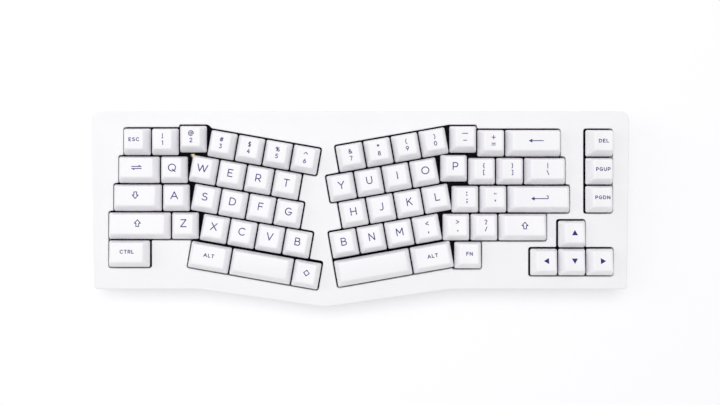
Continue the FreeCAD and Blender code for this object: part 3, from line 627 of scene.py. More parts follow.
def outer_rings(kind):
    """The places of the cap's rings, up its sides, round the soft edge and in over the dish."""
    rings = []
    for rise in SIDE_RISES:
        nip = SKIRT_NIP if rise == 0.0 else 0.0
        ring = []
        for p in cap_ring(kind, rise, 0.0):
            side = top_height(kind, p.x, p.y) - SOFT_EDGE - SKIRT_W
            ring.append((p - p.normalized() * nip).to_3d() + Vector((0, 0, SKIRT_W + rise * side)))
        rings.append(ring)
    for angle in EDGE_ANGLES:
        inward = math.sin(math.radians(angle))
        rings.append([on_top(kind, p.x, p.y, SOFT_EDGE * (1 - inward)) for p in cap_ring(kind, 1.0, inward)])
    edge = [p.to_2d() for p in rings[-1]]
    spine = (kind.units - 1) * PITCH / 2
    for share in DISH_SHARES:
        ring = []
        for p in edge:
            centre = Vector((max(-spine, min(spine, p.x)), TOP_CENTRE_V))
            ring.append(on_top(kind, *(centre + (p - centre) * share)))
        rings.append(ring)
    return rings


def fill_ladder(bm, ring, steps_u):
    """Fills the innermost ring with rungs from back to front, so that it follows the dish."""
    last = len(ring) - SIDE_STEPS
    left = 2 * CORNER_STEPS + 1 + steps_u
    for k in range(1, left - 1):
        bm.faces.new((ring[k], ring[k + 1], ring[last - k - 1], ring[last - k]))
    bm.faces.new(ring[:2] + ring[last - 1:])
    bm.faces.new(ring[left - 1:last - left + 2])


def hollow_ring(bm, kind, w):
    """A ring of vertices on the inner wall, at a height over the deck."""
    share = (w - SKIRT_W) / ROW_HEIGHTS[kind.row]
    half_u = half_width(kind.units) - CAP_WALL
    half_v = half_width(1) - CAP_WALL
    ring = rounded_rectangle(
        half_u - SIDE_INSET * share, -half_v + FRONT_INSET * share, half_v - BACK_INSET * share,
        HOLLOW_CORNER, steps_across(kind.units), SIDE_STEPS,
    )
    return [bm.verts.new((p.x, p.y, w)) for p in ring]


def add_stem(bm, u, width, depth, roof):
    """The post under a cap that slides in its guide, with its edges broken."""
    rings = []
    heights = (STEM_FOOT_W, STEM_FOOT_W + STEM_CORNER, roof + STEM_INTO_ROOF)
    for w, nip in zip(heights, (STEM_CORNER, 0.0, 0.0)):
        ring = rounded_rectangle(width / 2 - nip, -depth / 2 + nip, depth / 2 - nip, STEM_CORNER, 1, 1)
        rings.append([(p.x + u, p.y, w) for p in ring])
    closed_loft(bm, rings)


def loft_cap(kind):
    """A closed hollow keycap with its stem, about the key's middle, in deck millimetres."""
    bm = bmesh.new()
    outer = [[bm.verts.new(p) for p in ring] for ring in outer_rings(kind)]
    bridge(bm, outer)
    fill_ladder(bm, outer[-1], steps_across(kind.units))
    roof = top_height(kind, 0, TOP_CENTRE_V) - CAP_ROOF
    inner = [hollow_ring(bm, kind, w) for w in (SKIRT_W, roof)]
    bridge(bm, [outer[0], *inner])
    bm.faces.new(inner[1])
    add_stem(bm, 0.0, STEM_WIDTH, STEM_DEPTH, roof)
    if kind.units >= GUIDED_UNITS:
        for reach in (-GUIDE_REACH, GUIDE_REACH):
            add_stem(bm, reach, GUIDE_SIZE, GUIDE_SIZE, roof)
    return mesh_from_bmesh(bm, "cap")


CAP_KINDS = {kind: loft_cap(kind) for kind in sorted({kind_of(name) for name in KEYS})}
print("kinds of cap", len(CAP_KINDS), "faces in one", len(CAP_KINDS[kind_of("q")].polygons))


# %% [markdown]
# ## Seating the caps with Geometry Nodes
# Sixty-eight caps come from only fourteen shapes. A point stands at each key, with two
# attributes: which kind of cap it takes, and how far it is turned. A Geometry Nodes tree
# picks that cap for each point, turns it and sets it down. The instances are realised at the
# end, because the export keeps only real faces.

# %% Cap seating tree
def new_tree(name, inputs):
    """An empty Geometry Nodes tree with named inputs, given as (name, socket type)."""
    tree = bpy.data.node_groups.new(name, "GeometryNodeTree")
    tree.interface.new_socket("Geometry", in_out="INPUT", socket_type="NodeSocketGeometry")
    for label, kind in inputs:
        tree.interface.new_socket(label, in_out="INPUT", socket_type=kind)
    tree.interface.new_socket("Geometry", in_out="OUTPUT", socket_type="NodeSocketGeometry")
    return tree, add_node(tree, "NodeGroupInput").outputs


def end_tree(tree, geometry, material):
    """Ends a tree: instances become real faces in one material and go out."""
    real = add_node(tree, "GeometryNodeRealizeInstances", {"Geometry": geometry})
    made = add_node(tree, "GeometryNodeSetMaterial", {
        "Geometry": real.outputs["Geometry"], "Material": material})
    add_node(tree, "NodeGroupOutput", {"Geometry": made.outputs["Geometry"]})
    return tree


def run_tree(obj, tree, values):
    """Sets a tree on an object with its inputs by identifier, and returns the mesh it makes."""
    modifier = obj.modifiers.new(tree.name, "NODES")
    modifier.node_group = tree
    for item in tree.interface.items_tree:
        if item.item_type == "SOCKET" and item.in_out == "INPUT" and item.name in values:
            modifier[item.identifier] = values[item.name]
    return evaluated_mesh(obj)


def turned_copies(tree, inputs, angles):
    """Copies set on points and turned by angles about the axes."""
    euler = add_node(tree, "ShaderNodeCombineXYZ", angles)
    rotation = add_node(tree, "FunctionNodeEulerToRotation", {"Euler": euler.outputs["Vector"]})
    inputs = inputs | {"Rotation": rotation.outputs["Rotation"]}
    return add_node(tree, "GeometryNodeInstanceOnPoints", inputs).outputs["Instances"]


def cap_seating_tree():
    """Points with a kind and a turn become caps."""
    tree, given = new_tree("seat_keycaps", [
        ("Caps", "NodeSocketCollection"), ("Plastic", "NodeSocketMaterial")])
    shelf = add_node(tree, "GeometryNodeCollectionInfo", {
        "Collection": given["Caps"], "Separate Children": True})
    kind = add_node(tree, "GeometryNodeInputNamedAttribute", {"Name": "kind"}, data_type="INT")
    turn = add_node(tree, "GeometryNodeInputNamedAttribute", {"Name": "turn"}, data_type="FLOAT")
    caps = turned_copies(tree, {
        "Points": given["Geometry"], "Instance": shelf.outputs["Instances"], "Pick Instance": True,
        "Instance Index": live(kind.outputs, "Attribute")}, {"Z": live(turn.outputs, "Attribute")})
    return end_tree(tree, caps, given["Plastic"])


SEAT_TREE = cap_seating_tree()
cap_shelf = bpy.data.collections.new("cap_shelf")
for index, cap in enumerate(CAP_KINDS.values()):
    cap_shelf.objects.link(bpy.data.objects.new(f"cap_{index:02d}", cap))


def seat_caps(names):
    """The caps of one body, seated on the deck."""
    points = bpy.data.meshes.new("seats")
    points.from_pydata([(KEYS[name].u, KEYS[name].v, 0.0) for name in names], [], [])
    kinds = [list(CAP_KINDS).index(kind_of(name)) for name in names]
    points.attributes.new("kind", "INT", "POINT").data.foreach_set("value", kinds)
    turns = [math.radians(KEYS[name].turn) for name in names]
    points.attributes.new("turn", "FLOAT", "POINT").data.foreach_set("value", turns)
    return run_tree(new_object("seats", points), SEAT_TREE, {"Caps": cap_shelf, "Plastic": CAP_PLASTIC})


# %% [markdown]
# ## Legends as strokes
# The legends are plain round-ended strokes of one width, like writing with a felt pen. So
# each sign is written down as its width and its paths, in a unit square whose height is the
# height of a capital, and the ink is made by a tree that follows the paths. A path is split
# where it turns sharply, because a ribbon narrows in a sharp bend, and a disc at each end of
# each piece closes the joint. A path of a single point is a dot.

# %% Signs as paths
ARC_STEP = 15


def arc(cx, cy, rx, ry, start, end):
    """Points along an arc, from one angle to another in degrees."""
    steps = max(3, round(abs(end - start) / ARC_STEP))
    angles = [math.radians(start + (end - start) * i / steps) for i in range(steps + 1)]
    return [(cx + rx * math.cos(a), cy + ry * math.sin(a)) for a in angles]


def ring(cx, cy, rx, ry):
    """A closed round path."""
    return arc(cx, cy, rx, ry, 90, 450)


SIGNS = {
    "A": (1.0, [[(0, 0), (0.5, 1), (1.0, 0)], [(0.16, 0.32), (0.84, 0.32)]]),
    "B": (0.7, [[(0, 0), (0, 1), (0.38, 1), *arc(0.38, 0.76, 0.24, 0.24, 90, -90), (0, 0.52)],
                [(0.38, 0.52), *arc(0.42, 0.26, 0.28, 0.26, 90, -90), (0, 0)]]),
    "C": (0.86, [arc(0.5, 0.5, 0.5, 0.5, 48, 312)]),
    "D": (0.84, [[(0, 0), (0, 1), (0.34, 1), *arc(0.34, 0.5, 0.5, 0.5, 90, -90), (0, 0)]]),
    "E": (0.64, [[(0.64, 1), (0, 1), (0, 0), (0.64, 0)], [(0, 0.52), (0.54, 0.52)]]),
    "F": (0.6, [[(0.6, 1), (0, 1), (0, 0)], [(0, 0.5), (0.52, 0.5)]]),
    "G": (0.9, [[*arc(0.46, 0.5, 0.46, 0.5, 48, 352), (0.5, 0.43)]]),
    "H": (0.76, [[(0, 0), (0, 1)], [(0.76, 0), (0.76, 1)], [(0, 0.5), (0.76, 0.5)]]),
    "I": (0.0, [[(0, 0), (0, 1)]]),
    "J": (0.42, [[(0.42, 1), (0.42, 0.3), *arc(0.14, 0.28, 0.28, 0.28, 0, -130)]]),
    "K": (0.7, [[(0, 0), (0, 1)], [(0.66, 1), (0, 0.38)], [(0.26, 0.6), (0.7, 0)]]),
    "L": (0.58, [[(0, 1), (0, 0), (0.58, 0)]]),
    "M": (0.88, [[(0, 0), (0, 1), (0.44, 0.34), (0.88, 1), (0.88, 0)]]),
    "N": (0.76, [[(0, 0), (0, 1), (0.76, 0), (0.76, 1)]]),
    "O": (1.04, [ring(0.52, 0.5, 0.52, 0.5)]),
    "P": (0.68, [[(0, 0), (0, 1), (0.38, 1), *arc(0.38, 0.7, 0.3, 0.3, 90, -90), (0, 0.4)]]),
    "Q": (1.04, [ring(0.52, 0.5, 0.52, 0.5), [(0.6, 0.24), (0.98, -0.08)]]),
    "R": (0.7, [[(0, 0), (0, 1), (0.38, 1), *arc(0.38, 0.7, 0.3, 0.3, 90, -90), (0, 0.4)],
                [(0.38, 0.4), (0.7, 0)]]),
    "S": (0.74, [[*arc(0.38, 0.76, 0.32, 0.24, 35, 250), *arc(0.36, 0.26, 0.37, 0.26, 70, -148)]]),
    "T": (0.74, [[(0, 1), (0.74, 1)], [(0.37, 1), (0.37, 0)]]),
    "U": (0.74, [[(0, 1), (0, 0.37), *arc(0.37, 0.37, 0.37, 0.37, 180, 360), (0.74, 1)]]),
    "V": (0.86, [[(0, 1), (0.43, 0), (0.86, 1)]]),
    "W": (1.46, [[(0, 1), (0.38, 0), (0.73, 0.94), (1.08, 0), (1.46, 1)]]),
    "X": (0.86, [[(0, 0), (0.82, 1)], [(0.04, 1), (0.86, 0)]]),
    "Y": (0.82, [[(0, 1), (0.41, 0.46), (0.82, 1)], [(0.41, 0.46), (0.41, 0)]]),
    "Z": (0.78, [[(0.02, 1), (0.75, 1), (0, 0), (0.78, 0)]]),
    "0": (0.66, [ring(0.33, 0.5, 0.33, 0.5)]),
    "1": (0.2, [[(0, 0.86), (0.2, 1), (0.2, 0)]]),
    "2": (0.6, [[*arc(0.29, 0.72, 0.28, 0.28, 160, -35), (0, 0), (0.6, 0)]]),
    "3": (0.58, [[(0.04, 1), (0.52, 1), (0.26, 0.6), *arc(0.27, 0.3, 0.3, 0.3, 90, -140)]]),
    "4": (0.66, [[(0.44, 1), (0, 0.28), (0.66, 0.28)], [(0.48, 0.56), (0.48, 0)]]),
    "5": (0.58, [[(0.54, 1), (0.1, 1), (0.06, 0.56), *arc(0.27, 0.31, 0.31, 0.31, 100, -140)]]),
    "6": (0.62, [ring(0.31, 0.31, 0.31, 0.31), [(0.05, 0.46), (0.4, 1)]]),
    "7": (0.56, [[(0, 1), (0.56, 1), (0.16, 0)]]),
    "8": (0.6, [ring(0.3, 0.27, 0.3, 0.27), ring(0.3, 0.77, 0.23, 0.23)]),
    "9": (0.62, [ring(0.31, 0.69, 0.31, 0.31), [(0.57, 0.54), (0.22, 0)]]),
    "!": (0.0, [[(0, 1.05), (0, 0.36)], [(0, 0.02)]]),
    "@": (1.3, [[*arc(0.65, 0.5, 0.27, 0.28, 0, 360), (0.92, 0.78)],
                [(0.92, 0.5), *arc(1.07, 0.42, 0.15, 0.17, 190, 350), *arc(0.65, 0.5, 0.62, 0.64, -5, 300)]]),
    "#": (0.8, [[(0.2, 0), (0.34, 1)], [(0.52, 0), (0.66, 1)], [(0.06, 0.68), (0.8, 0.68)],
                [(0, 0.32), (0.74, 0.32)]]),
    "$": (0.62, [[*arc(0.32, 0.76, 0.27, 0.24, 40, 250), *arc(0.3, 0.26, 0.31, 0.26, 70, -145)],
                 [(0.31, 1.2), (0.31, -0.2)]]),
    "%": (0.94, [ring(0.2, 0.78, 0.2, 0.22), ring(0.74, 0.22, 0.2, 0.22), [(0.76, 1), (0.18, 0)]]),
    "^": (0.9, [[(0, 0.52), (0.45, 1), (0.9, 0.52)]]),
    "&": (0.78, [[(0.78, 0), (0.16, 0.66), *arc(0.32, 0.8, 0.2, 0.2, 215, -35), (0.1, 0.4),
                  *arc(0.3, 0.24, 0.28, 0.24, 150, 330), (0.76, 0.44)]]),
    "*": (0.44, [[(0.22, 1), (0.22, 0.5)], [(0, 0.87), (0.44, 0.63)], [(0, 0.63), (0.44, 0.87)]]),
    "(": (0.3, [arc(0.42, 0.5, 0.42, 0.66, 112, 248)]),
    ")": (0.3, [arc(-0.12, 0.5, 0.42, 0.66, 68, -68)]),
    "_": (1.3, [[(0, 0.5), (1.3, 0.5)]]),
    "-": (0.86, [[(0, 0.5), (0.86, 0.5)]]),
    "+": (0.9, [[(0, 0.5), (0.9, 0.5)], [(0.45, 0.05), (0.45, 0.95)]]),
    "=": (0.9, [[(0, 0.72), (0.9, 0.72)], [(0, 0.28), (0.9, 0.28)]]),
    "{": (0.28, [[(0.28, 1.1), *arc(0.24, 0.94, 0.12, 0.14, 90, 180), (0.12, 0.66), (0, 0.5), (0.12, 0.34),
                  *arc(0.24, 0.06, 0.12, 0.14, 180, 270), (0.28, -0.1)]]),
    "}": (0.28, [[(0, 1.1), *arc(0.04, 0.94, 0.12, 0.14, 90, 0), (0.16, 0.66), (0.28, 0.5), (0.16, 0.34),
                  *arc(0.04, 0.06, 0.12, 0.14, 0, -90), (0, -0.1)]]),
    "[": (0.24, [[(0.24, 1.1), (0, 1.1), (0, -0.1), (0.24, -0.1)]]),
    "]": (0.24, [[(0, 1.1), (0.24, 1.1), (0.24, -0.1), (0, -0.1)]]),
    "|": (0.0, [[(0, 1.15), (0, -0.15)]]),
    "\\": (0.46, [[(0, 1.05), (0.46, -0.05)]]),
    "/": (0.46, [[(0.46, 1.05), (0, -0.05)]]),
    ":": (0.0, [[(0, 0.85)], [(0, 0.17)]]),
    ";": (0.08, [[(0.08, 0.85)], [(0.08, 0.17)], [(0.08, 0.17), (0.0, -0.12)]]),
    '"': (0.42, [[(0, 0.68), (0, 0.42)], [(0.42, 0.68), (0.42, 0.42)]]),
    "'": (0.0, [[(0, 0.6)], [(0, 0.6), (0, 0.34)]]),
    "<": (0.74, [[(0.74, 0.9), (0, 0.5), (0.74, 0.1)]]),
    ">": (0.74, [[(0, 0.9), (0.74, 0.5), (0, 0.1)]]),
    ",": (0.06, [[(0.06, 0.06)], [(0.06, 0.06), (0, -0.2)]]),
    ".": (0.0, [[(0, 0.02)]]),
    "?": (0.54, [[*arc(0.27, 0.74, 0.27, 0.27, 165, -50), (0.27, 0.34)], [(0.27, 0.02)]]),
}
print("signs", len(SIGNS))


# %% [markdown]
# ### Which legend goes where
# Letters are written 4.6 mm high, digits and marks 2.6 mm and words 2.05 mm, and a digit
# stands under its mark. Tab, caps, shift, enter and backspace are arrows, drawn in
# millimetres about the middle of the cap's top, and the arrow keys have filled triangles.
# The system key gets a plain diamond. The legends lie a little behind the middle of the
# caps, more so in the lower rows and towards the left.

# %% Legends by key
LETTER_HEIGHT = 4.6
SMALL_HEIGHT = 2.6
WORD_HEIGHT = 2.05
LETTER_STROKE = 0.64
SMALL_STROKE = 0.5
ARROW_STROKE = 0.56
LETTER_GAP = 0.36
WORD_GAP = 0.5
LINE_SHIFT = 2.3
LEGEND_LIFT = (0.0, 0.1, 0.5, 0.8, 0.6)
LIFT_END_U = 150.0
LIFT_SPAN_U = 300.0
LETTERS = {name: name[0].upper() for name in banked}
PAIRS = {
    "1": "!1", "2": "@2", "3": "#3", "4": "$4", "5": "%5", "6": "^6", "7": "&7", "8": "*8",
    "9": "(9", "0": ")0", "minus": "_-", "equals": "+=", "left_bracket": "{[", "right_bracket": "}]",
    "backslash": "|\\", "semicolon": ":;", "quote": "\"'", "comma": "<,", "period": ">.", "slash": "?/",
}
WORDS = {"escape": "ESC", "control": "CTRL", "left_alt": "ALT", "right_alt": "ALT", "function": "FN",
         "delete": "DEL", "page_up": "PGUP", "page_down": "PGDN"}
UP_ARROW = [(0.0, -2.2), (-0.95, -2.2), (-0.95, -0.1), (-2.0, -0.1), (0.0, 2.2), (2.0, -0.1), (0.95, -0.1),
            (0.95, -2.2), (0.0, -2.2)]
TRIANGLE = [(1.85, 0), (-1.65, 2.0), (-1.65, -2.0)]
DRAWN = {
    "tab": ([[(-3.2, 0.7), (3.2, 0.7)], [(3.2, -0.7), (-3.2, -0.7)]],
            [[(3.5, 0.5), (1.4, 1.9), (1.4, 0.5)], [(-3.5, -0.5), (-1.4, -1.9), (-1.4, -0.5)]]),
    "caps": ([[(x, -y) for x, y in UP_ARROW]], []),
    "left_shift": ([UP_ARROW], []),
    "right_shift": ([UP_ARROW], []),
    "backspace": ([[(4.7, 0), (-3.5, 0)]], [[(-5.1, 0), (-2.7, 1.3), (-2.7, -1.3)]]),
    "enter": ([[(3.8, 1.0), (4.6, 0.9), (4.6, -0.9), (-5.3, -0.9)]],
              [[(-6.9, -0.9), (-4.5, 0.4), (-4.5, -2.2)]]),
    "system": ([[(0, 1.9), (-1.9, 0), (0, -1.9), (1.9, 0), (0, 1.9)]], []),
}
for name, angle in (("arrow_up", 90), ("arrow_left", 180), ("arrow_down", 270), ("arrow_right", 0)):
    turn = Matrix.Rotation(math.radians(angle), 2)
    DRAWN[name] = ([], [[tuple(turn @ Vector(p)) for p in TRIANGLE]])


def written(text, height, v=0, gap=LETTER_GAP):
    """The paths of a word centred on a point, with capitals of a height."""
    widths = [SIGNS[c][0] for c in text]
    along = -(sum(widths) + gap * (len(text) - 1)) / 2
    paths = []
    for sign, width in zip(text, widths):
        for path in SIGNS[sign][1]:
            paths.append([((along + x) * height, v + (y - 0.5) * height) for x, y in path])
        along += width + gap
    return paths


def legend(name):
    """A key's legend as (stroke width, paths, filled shapes), about the middle of its top."""
    if name in LETTERS:
        return LETTER_STROKE, written(LETTERS[name], LETTER_HEIGHT), []
    if name in WORDS:
        return SMALL_STROKE, written(WORDS[name], WORD_HEIGHT, gap=WORD_GAP), []
    if name in PAIRS:
        upper, lower = PAIRS[name]
        paths = written(upper, SMALL_HEIGHT, LINE_SHIFT) + written(lower, SMALL_HEIGHT, -LINE_SHIFT)
        return SMALL_STROKE, paths, []
    return ARROW_STROKE, *DRAWN.get(name, ([], []))


print("legend of Q has", len(legend("q")[1]), "paths")


# %% [markdown]
# ### The ink tree
# Real sublimated ink lies in the plastic and follows the dish. The tree makes each path a
# thin flat ribbon with a disc at each end. The ribbons are then laid on the cap: every
# vertex is lifted by the height of the dish below it, so the ink hugs the curve and stands
# only 0.03 mm proud, enough to be a surface of its own. Where pieces meet, two discs lie in
# one place, and a weld makes them one.

# %% Ink tree and draping
INK_PROUD = 0.03
INK_DEPTH = 0.1
PATH_STEP = 0.6
SHARP_BEND = math.radians(28)
NO_LENGTH = 1e-4
DISC_SIDES = 12
DOT_RADIUS = 0.48
WELD = 0.001


def ink_tree():
    """Curves become flat ribbons with round ends."""
    tree, given = new_tree("legend_ink", [
        ("Stroke Width", "NodeSocketFloat"), ("Ink Depth", "NodeSocketFloat"), ("Ink", "NodeSocketMaterial")])
    upright = add_node(tree, "GeometryNodeSetCurveNormal", {"Curve": given["Geometry"]}, mode="Z_UP")
    section = add_node(tree, "GeometryNodeCurvePrimitiveQuadrilateral", {
        "Width": given["Stroke Width"], "Height": given["Ink Depth"]})
    ribbon = add_node(tree, "GeometryNodeCurveToMesh", {
        "Curve": upright.outputs["Curve"], "Profile Curve": section.outputs["Curve"], "Fill Caps": True})
    disc = add_node(tree, "GeometryNodeMeshCylinder", {
        "Vertices": DISC_SIDES, "Radius": maths(tree, "MULTIPLY", given["Stroke Width"], 0.5),
        "Depth": given["Ink Depth"]})
    ends = add_node(tree, "GeometryNodeCurveEndpointSelection").outputs["Selection"]
    discs = add_node(tree, "GeometryNodeInstanceOnPoints", {
        "Points": given["Geometry"], "Instance": disc.outputs["Mesh"], "Selection": ends})
    both = add_node(tree, "GeometryNodeJoinGeometry", {"Geometry": discs.outputs["Instances"]})
    tree.links.new(ribbon.outputs["Mesh"], both.inputs["Geometry"])
    return end_tree(tree, both.outputs["Geometry"], given["Ink"])


INK_TREE = ink_tree()


def smooth_runs(path):
    """A path split where it turns sharply, with its straight runs divided."""
    runs = [[Vector(path[0])]]
    for i in range(1, len(path)):
        start, end = Vector(path[i - 1]), Vector(path[i])
        if (end - start).length < NO_LENGTH:
            continue
        steps = max(1, math.ceil((end - start).length / PATH_STEP))
        runs[-1] += [start.lerp(end, k / steps) for k in range(1, steps + 1)]
        if i + 1 < len(path):
            after = Vector(path[i + 1]) - end
            if after.length > NO_LENGTH and (end - start).angle(after) > SHARP_BEND:
                runs.append([end])
    return runs


def dot_outline(x, y):
    """A small round shape about a point."""
    angles = [math.tau * k / DISC_SIDES for k in range(DISC_SIDES)]
    return [(x + DOT_RADIUS * math.cos(a), y + DOT_RADIUS * math.sin(a)) for a in angles]


def ink_mesh(name):
    """A key's legend as a mesh draped on its cap, set on the deck, or None without a legend."""
    width, paths, filled = legend(name)
    runs = [run for path in paths if len(path) > 1 for run in smooth_runs(path)]
    shapes = filled + [dot_outline(*path[0]) for path in paths if len(path) == 1]
    if not runs and not shapes:
        return None
    bm = bmesh.new()
    if runs:
        values = {"Stroke Width": width, "Ink Depth": INK_DEPTH, "Ink": LEGEND_INK}
        bm.from_mesh(run_tree(poly_curve("ink_path", runs), INK_TREE, values))
        bmesh.ops.remove_doubles(bm, verts=bm.verts, dist=WELD)
    for shape in shapes:
        closed_loft(bm, [[(x, y, w) for x, y in shape] for w in (-INK_DEPTH / 2, INK_DEPTH / 2)])
    key = KEYS[name]
    lift = LEGEND_LIFT[key.row] * min(max((LIFT_END_U - key.u) / LIFT_SPAN_U, 0.0), 1.0)
    for vertex in bm.verts:
        vertex.co.y += TOP_CENTRE_V + lift
        vertex.co.z += top_height(kind_of(name), vertex.co.x, vertex.co.y) + INK_PROUD - INK_DEPTH / 2
    mesh = mesh_from_bmesh(bm, "ink")
    mesh.transform(Matrix.Translation((key.u, key.v, 0.0)) @ Matrix.Rotation(math.radians(key.turn), 4, "Z"))
    return mesh


# %% [markdown]
# ## The keys
# Each moving body now gets one mesh: its seated caps with the ink on them. The two letter
# banks move as one body each, and every other key is a body of its own.

# %% Make every key
key_faces = 0
for body, names in BODY_KEYS.items():
    inks = [(ink, LEGEND_INK) for ink in map(ink_mesh, names) if ink]
    title = body.replace("key", "keycap")
    mesh = join_meshes(title, [(seat_caps(names), CAP_PLASTIC), *inks])
    key_faces += len(mesh.polygons)
    finished_piece(title, mesh, body, [body])
for obj in list(cap_shelf.objects):
    bpy.data.objects.remove(obj)
bpy.data.collections.remove(cap_shelf)
print("key pieces", len(BODY_KEYS), "faces", key_faces)


# %% [markdown]
# ## The top case
# The upper shell is one moulding: a flat sheet with a wall round it and four windows for the
# keys. Its edges are softly rounded, which the plain CAD solid leaves as flats. The outline
# is drawn again from its corners, and the windows' outlines are read from the CAD sheet, so
# they can't drift from the keys. Each outline is then swept through a section: round the
# edge, down the wall and back under the sheet.

# %% Outlines with round corners
CASE_OUTLINE = [(-182.1, -59.4), (-110.2, -59.4), (-24.0, -71.7), (62.2, -59.4), (182.5, -59.4),
                (184.4, 62.3), (-184.0, 62.3)]
CASE_RADII = [3.0, 22.0, 22.0, 22.0, 3.0, 6.0, 6.0]
RIM_W = 6.0
SHEET = 2.5
WALL = 2.6
PARTING_W = -3.6
LIP_FOOT_W = 0.4
LIP_WALL = 1.2
OUTER_CORNER = 1.7
INNER_CORNER = 0.7
SIDE_SHARE = 0.45
CAD_WELD = 0.004
LEVEL = 0.01
STRAIGHT = math.radians(0.5)
CUT_LENGTH = 1.5
CUT_SLOPE = 24


def offset_corners(points, distance):
    """Each side of an anticlockwise outline moved outwards, with sharp corners kept."""
    moved = []
    for i, here in enumerate(points):
        side_in = (here - points[i - 1]).normalized()
        side_out = (points[(i + 1) % len(points)] - here).normalized()
        bisector = Vector((side_in.y, -side_in.x)) + Vector((side_out.y, -side_out.x))
        moved.append(here + bisector * (2 * distance / bisector.length_squared))
    return moved


def turns_left(points, i):
    """True where an anticlockwise outline has an outer corner."""
    side_in = points[i] - points[i - 1]
    side_out = points[(i + 1) % len(points)] - points[i]
    return side_in.x * side_out.y - side_in.y * side_out.x > 0


def rounded_outline(points, radii, steps):
    """An outline with the same number of points on the arc of each corner."""
    loop = []
    for i, here in enumerate(points):
        back = points[i - 1] - here
        ahead = points[(i + 1) % len(points)] - here
        half = back.angle(ahead) / 2
        reach = min(radii[i] / math.tan(half), SIDE_SHARE * back.length, SIDE_SHARE * ahead.length)
        radius = reach * math.tan(half)
        centre = here + (back.normalized() + ahead.normalized()).normalized() * (radius / math.sin(half))
        first = here + back.normalized() * reach - centre
        last = here + ahead.normalized() * reach - centre
        sweep = first.angle_signed(last, 0.0)
        loop += [centre + Matrix.Rotation(-sweep * k / steps, 2) @ first for k in range(steps + 1)]
    return loop


def sheet_outlines():
    """The windows' sharp outlines, read from the flat top of the CAD sheet."""
    bm = bmesh.new()
    bm.from_mesh(frame["nodes"]["top_case"].data)
    bm.transform(ROOM_TO_DECK)
    bmesh.ops.remove_doubles(bm, verts=bm.verts, dist=CAD_WELD)
    flat = {f for f in bm.faces if all(abs(v.co.z - RIM_W) < LEVEL for v in f.verts)}
    edges = [e for e in bm.edges if sum(f in flat for f in e.link_faces) == 1]
    ahead = {}
    for e in edges:
        face = next(f for f in e.link_faces if f in flat)
        loop = next(corner for corner in face.loops if corner.edge == e)
        ahead[loop.vert.index] = (loop.link_loop_next.vert.index, loop.vert.co.to_2d())
    outlines = []
    while ahead:
        here = next(iter(ahead))
        points = []
        while here in ahead:
            after, place = ahead.pop(here)
            points.append(place)
            here = after
        outlines.append(points)
    bm.free()
    return outlines


def area(points):
    """The signed area inside an outline."""
    return sum(a.x * b.y - a.y * b.x for a, b in zip(points, points[1:] + points[:1])) / 2


def sharpened(points):
    """An outline without its straight-through points and with its cut corners made sharp."""
    if area(points) < 0:
        points = points[::-1]
    count = len(points)
    kept = [p for i, p in enumerate(points)
            if (p - points[i - 1]).angle(points[(i + 1) % count] - p) > STRAIGHT]
    sides = []
    for i, start in enumerate(kept):
        end = kept[(i + 1) % len(kept)]
        slope = math.degrees(math.atan2(end.y - start.y, end.x - start.x)) % 90
        if (end - start).length > CUT_LENGTH or abs(slope - 45) > CUT_SLOPE:
            sides.append((start, end))
    corners = []
    for i, (start, end) in enumerate(sides):
        next_start, next_end = sides[(i + 1) % len(sides)]
        if (end - next_start).length < LEVEL:
            corners.append(end)
        else:
            along, next_along = end - start, next_end - next_start
            share = (next_start - start).cross(next_along) / along.cross(next_along)
            corners.append(start + along * share)
    return corners


outlines = sorted((sharpened(o) for o in sheet_outlines()), key=lambda o: -abs(area(o)))
WINDOWS = outlines[1:]
print("windows", [len(w) for w in WINDOWS], [round(area(w)) for w in WINDOWS])


# %% Sweep the shell
EDGE_ROUND = 1.1
WINDOW_ROUND = 0.45
ROUND_STEPS = 5
WINDOW_ROUND_STEPS = 3
CORNER_ARC_STEPS = 10
WINDOW_ARC_STEPS = 5
EDGE_MARGIN = 0.4
WINDOW_MARGIN = 0.2
PARTING_EASE = 0.25
LEAST_CORNER = 0.05


def quarter_turn(steps):
    """Points round a quarter circle of radius 1, as (in from the wall, down from the flat)."""
    turn = [math.pi / 2 * k / steps for k in range(steps + 1)]
    return [(1 - math.cos(a), 1 - math.sin(a)) for a in turn]


def swept_rings(bm, corners, section, growing, radii, steps):
    """Rings of vertices, one for each (distance, height) of a section along an outline.

    The distance grows outwards where growing is 1 and inwards where it is -1. A height may be
    a rule that gives the height over the plate at each v.
    """
    rings = []
    for distance, height in section:
        moved = offset_corners(corners, growing * distance)
        fitted = [max(radius + (growing if turns_left(corners, i) else -growing) * distance, LEAST_CORNER)
                  for i, radius in enumerate(radii)]
        loop = rounded_outline(moved, fitted, steps)
        rings.append([bm.verts.new((p.x, p.y, height(p.y) if callable(height) else height)) for p in loop])
    bridge(bm, rings)
    return rings


def fill_between(bm, outer, holes):
    """Flat faces between an outer ring and the rings inside it."""
    loops = [outer] + holes
    flat = [v for ring in loops for v in ring]
    for triangle in tessellate_polygon([[v.co for v in ring] for ring in loops]):
        bm.faces.new([flat[i] for i in triangle])


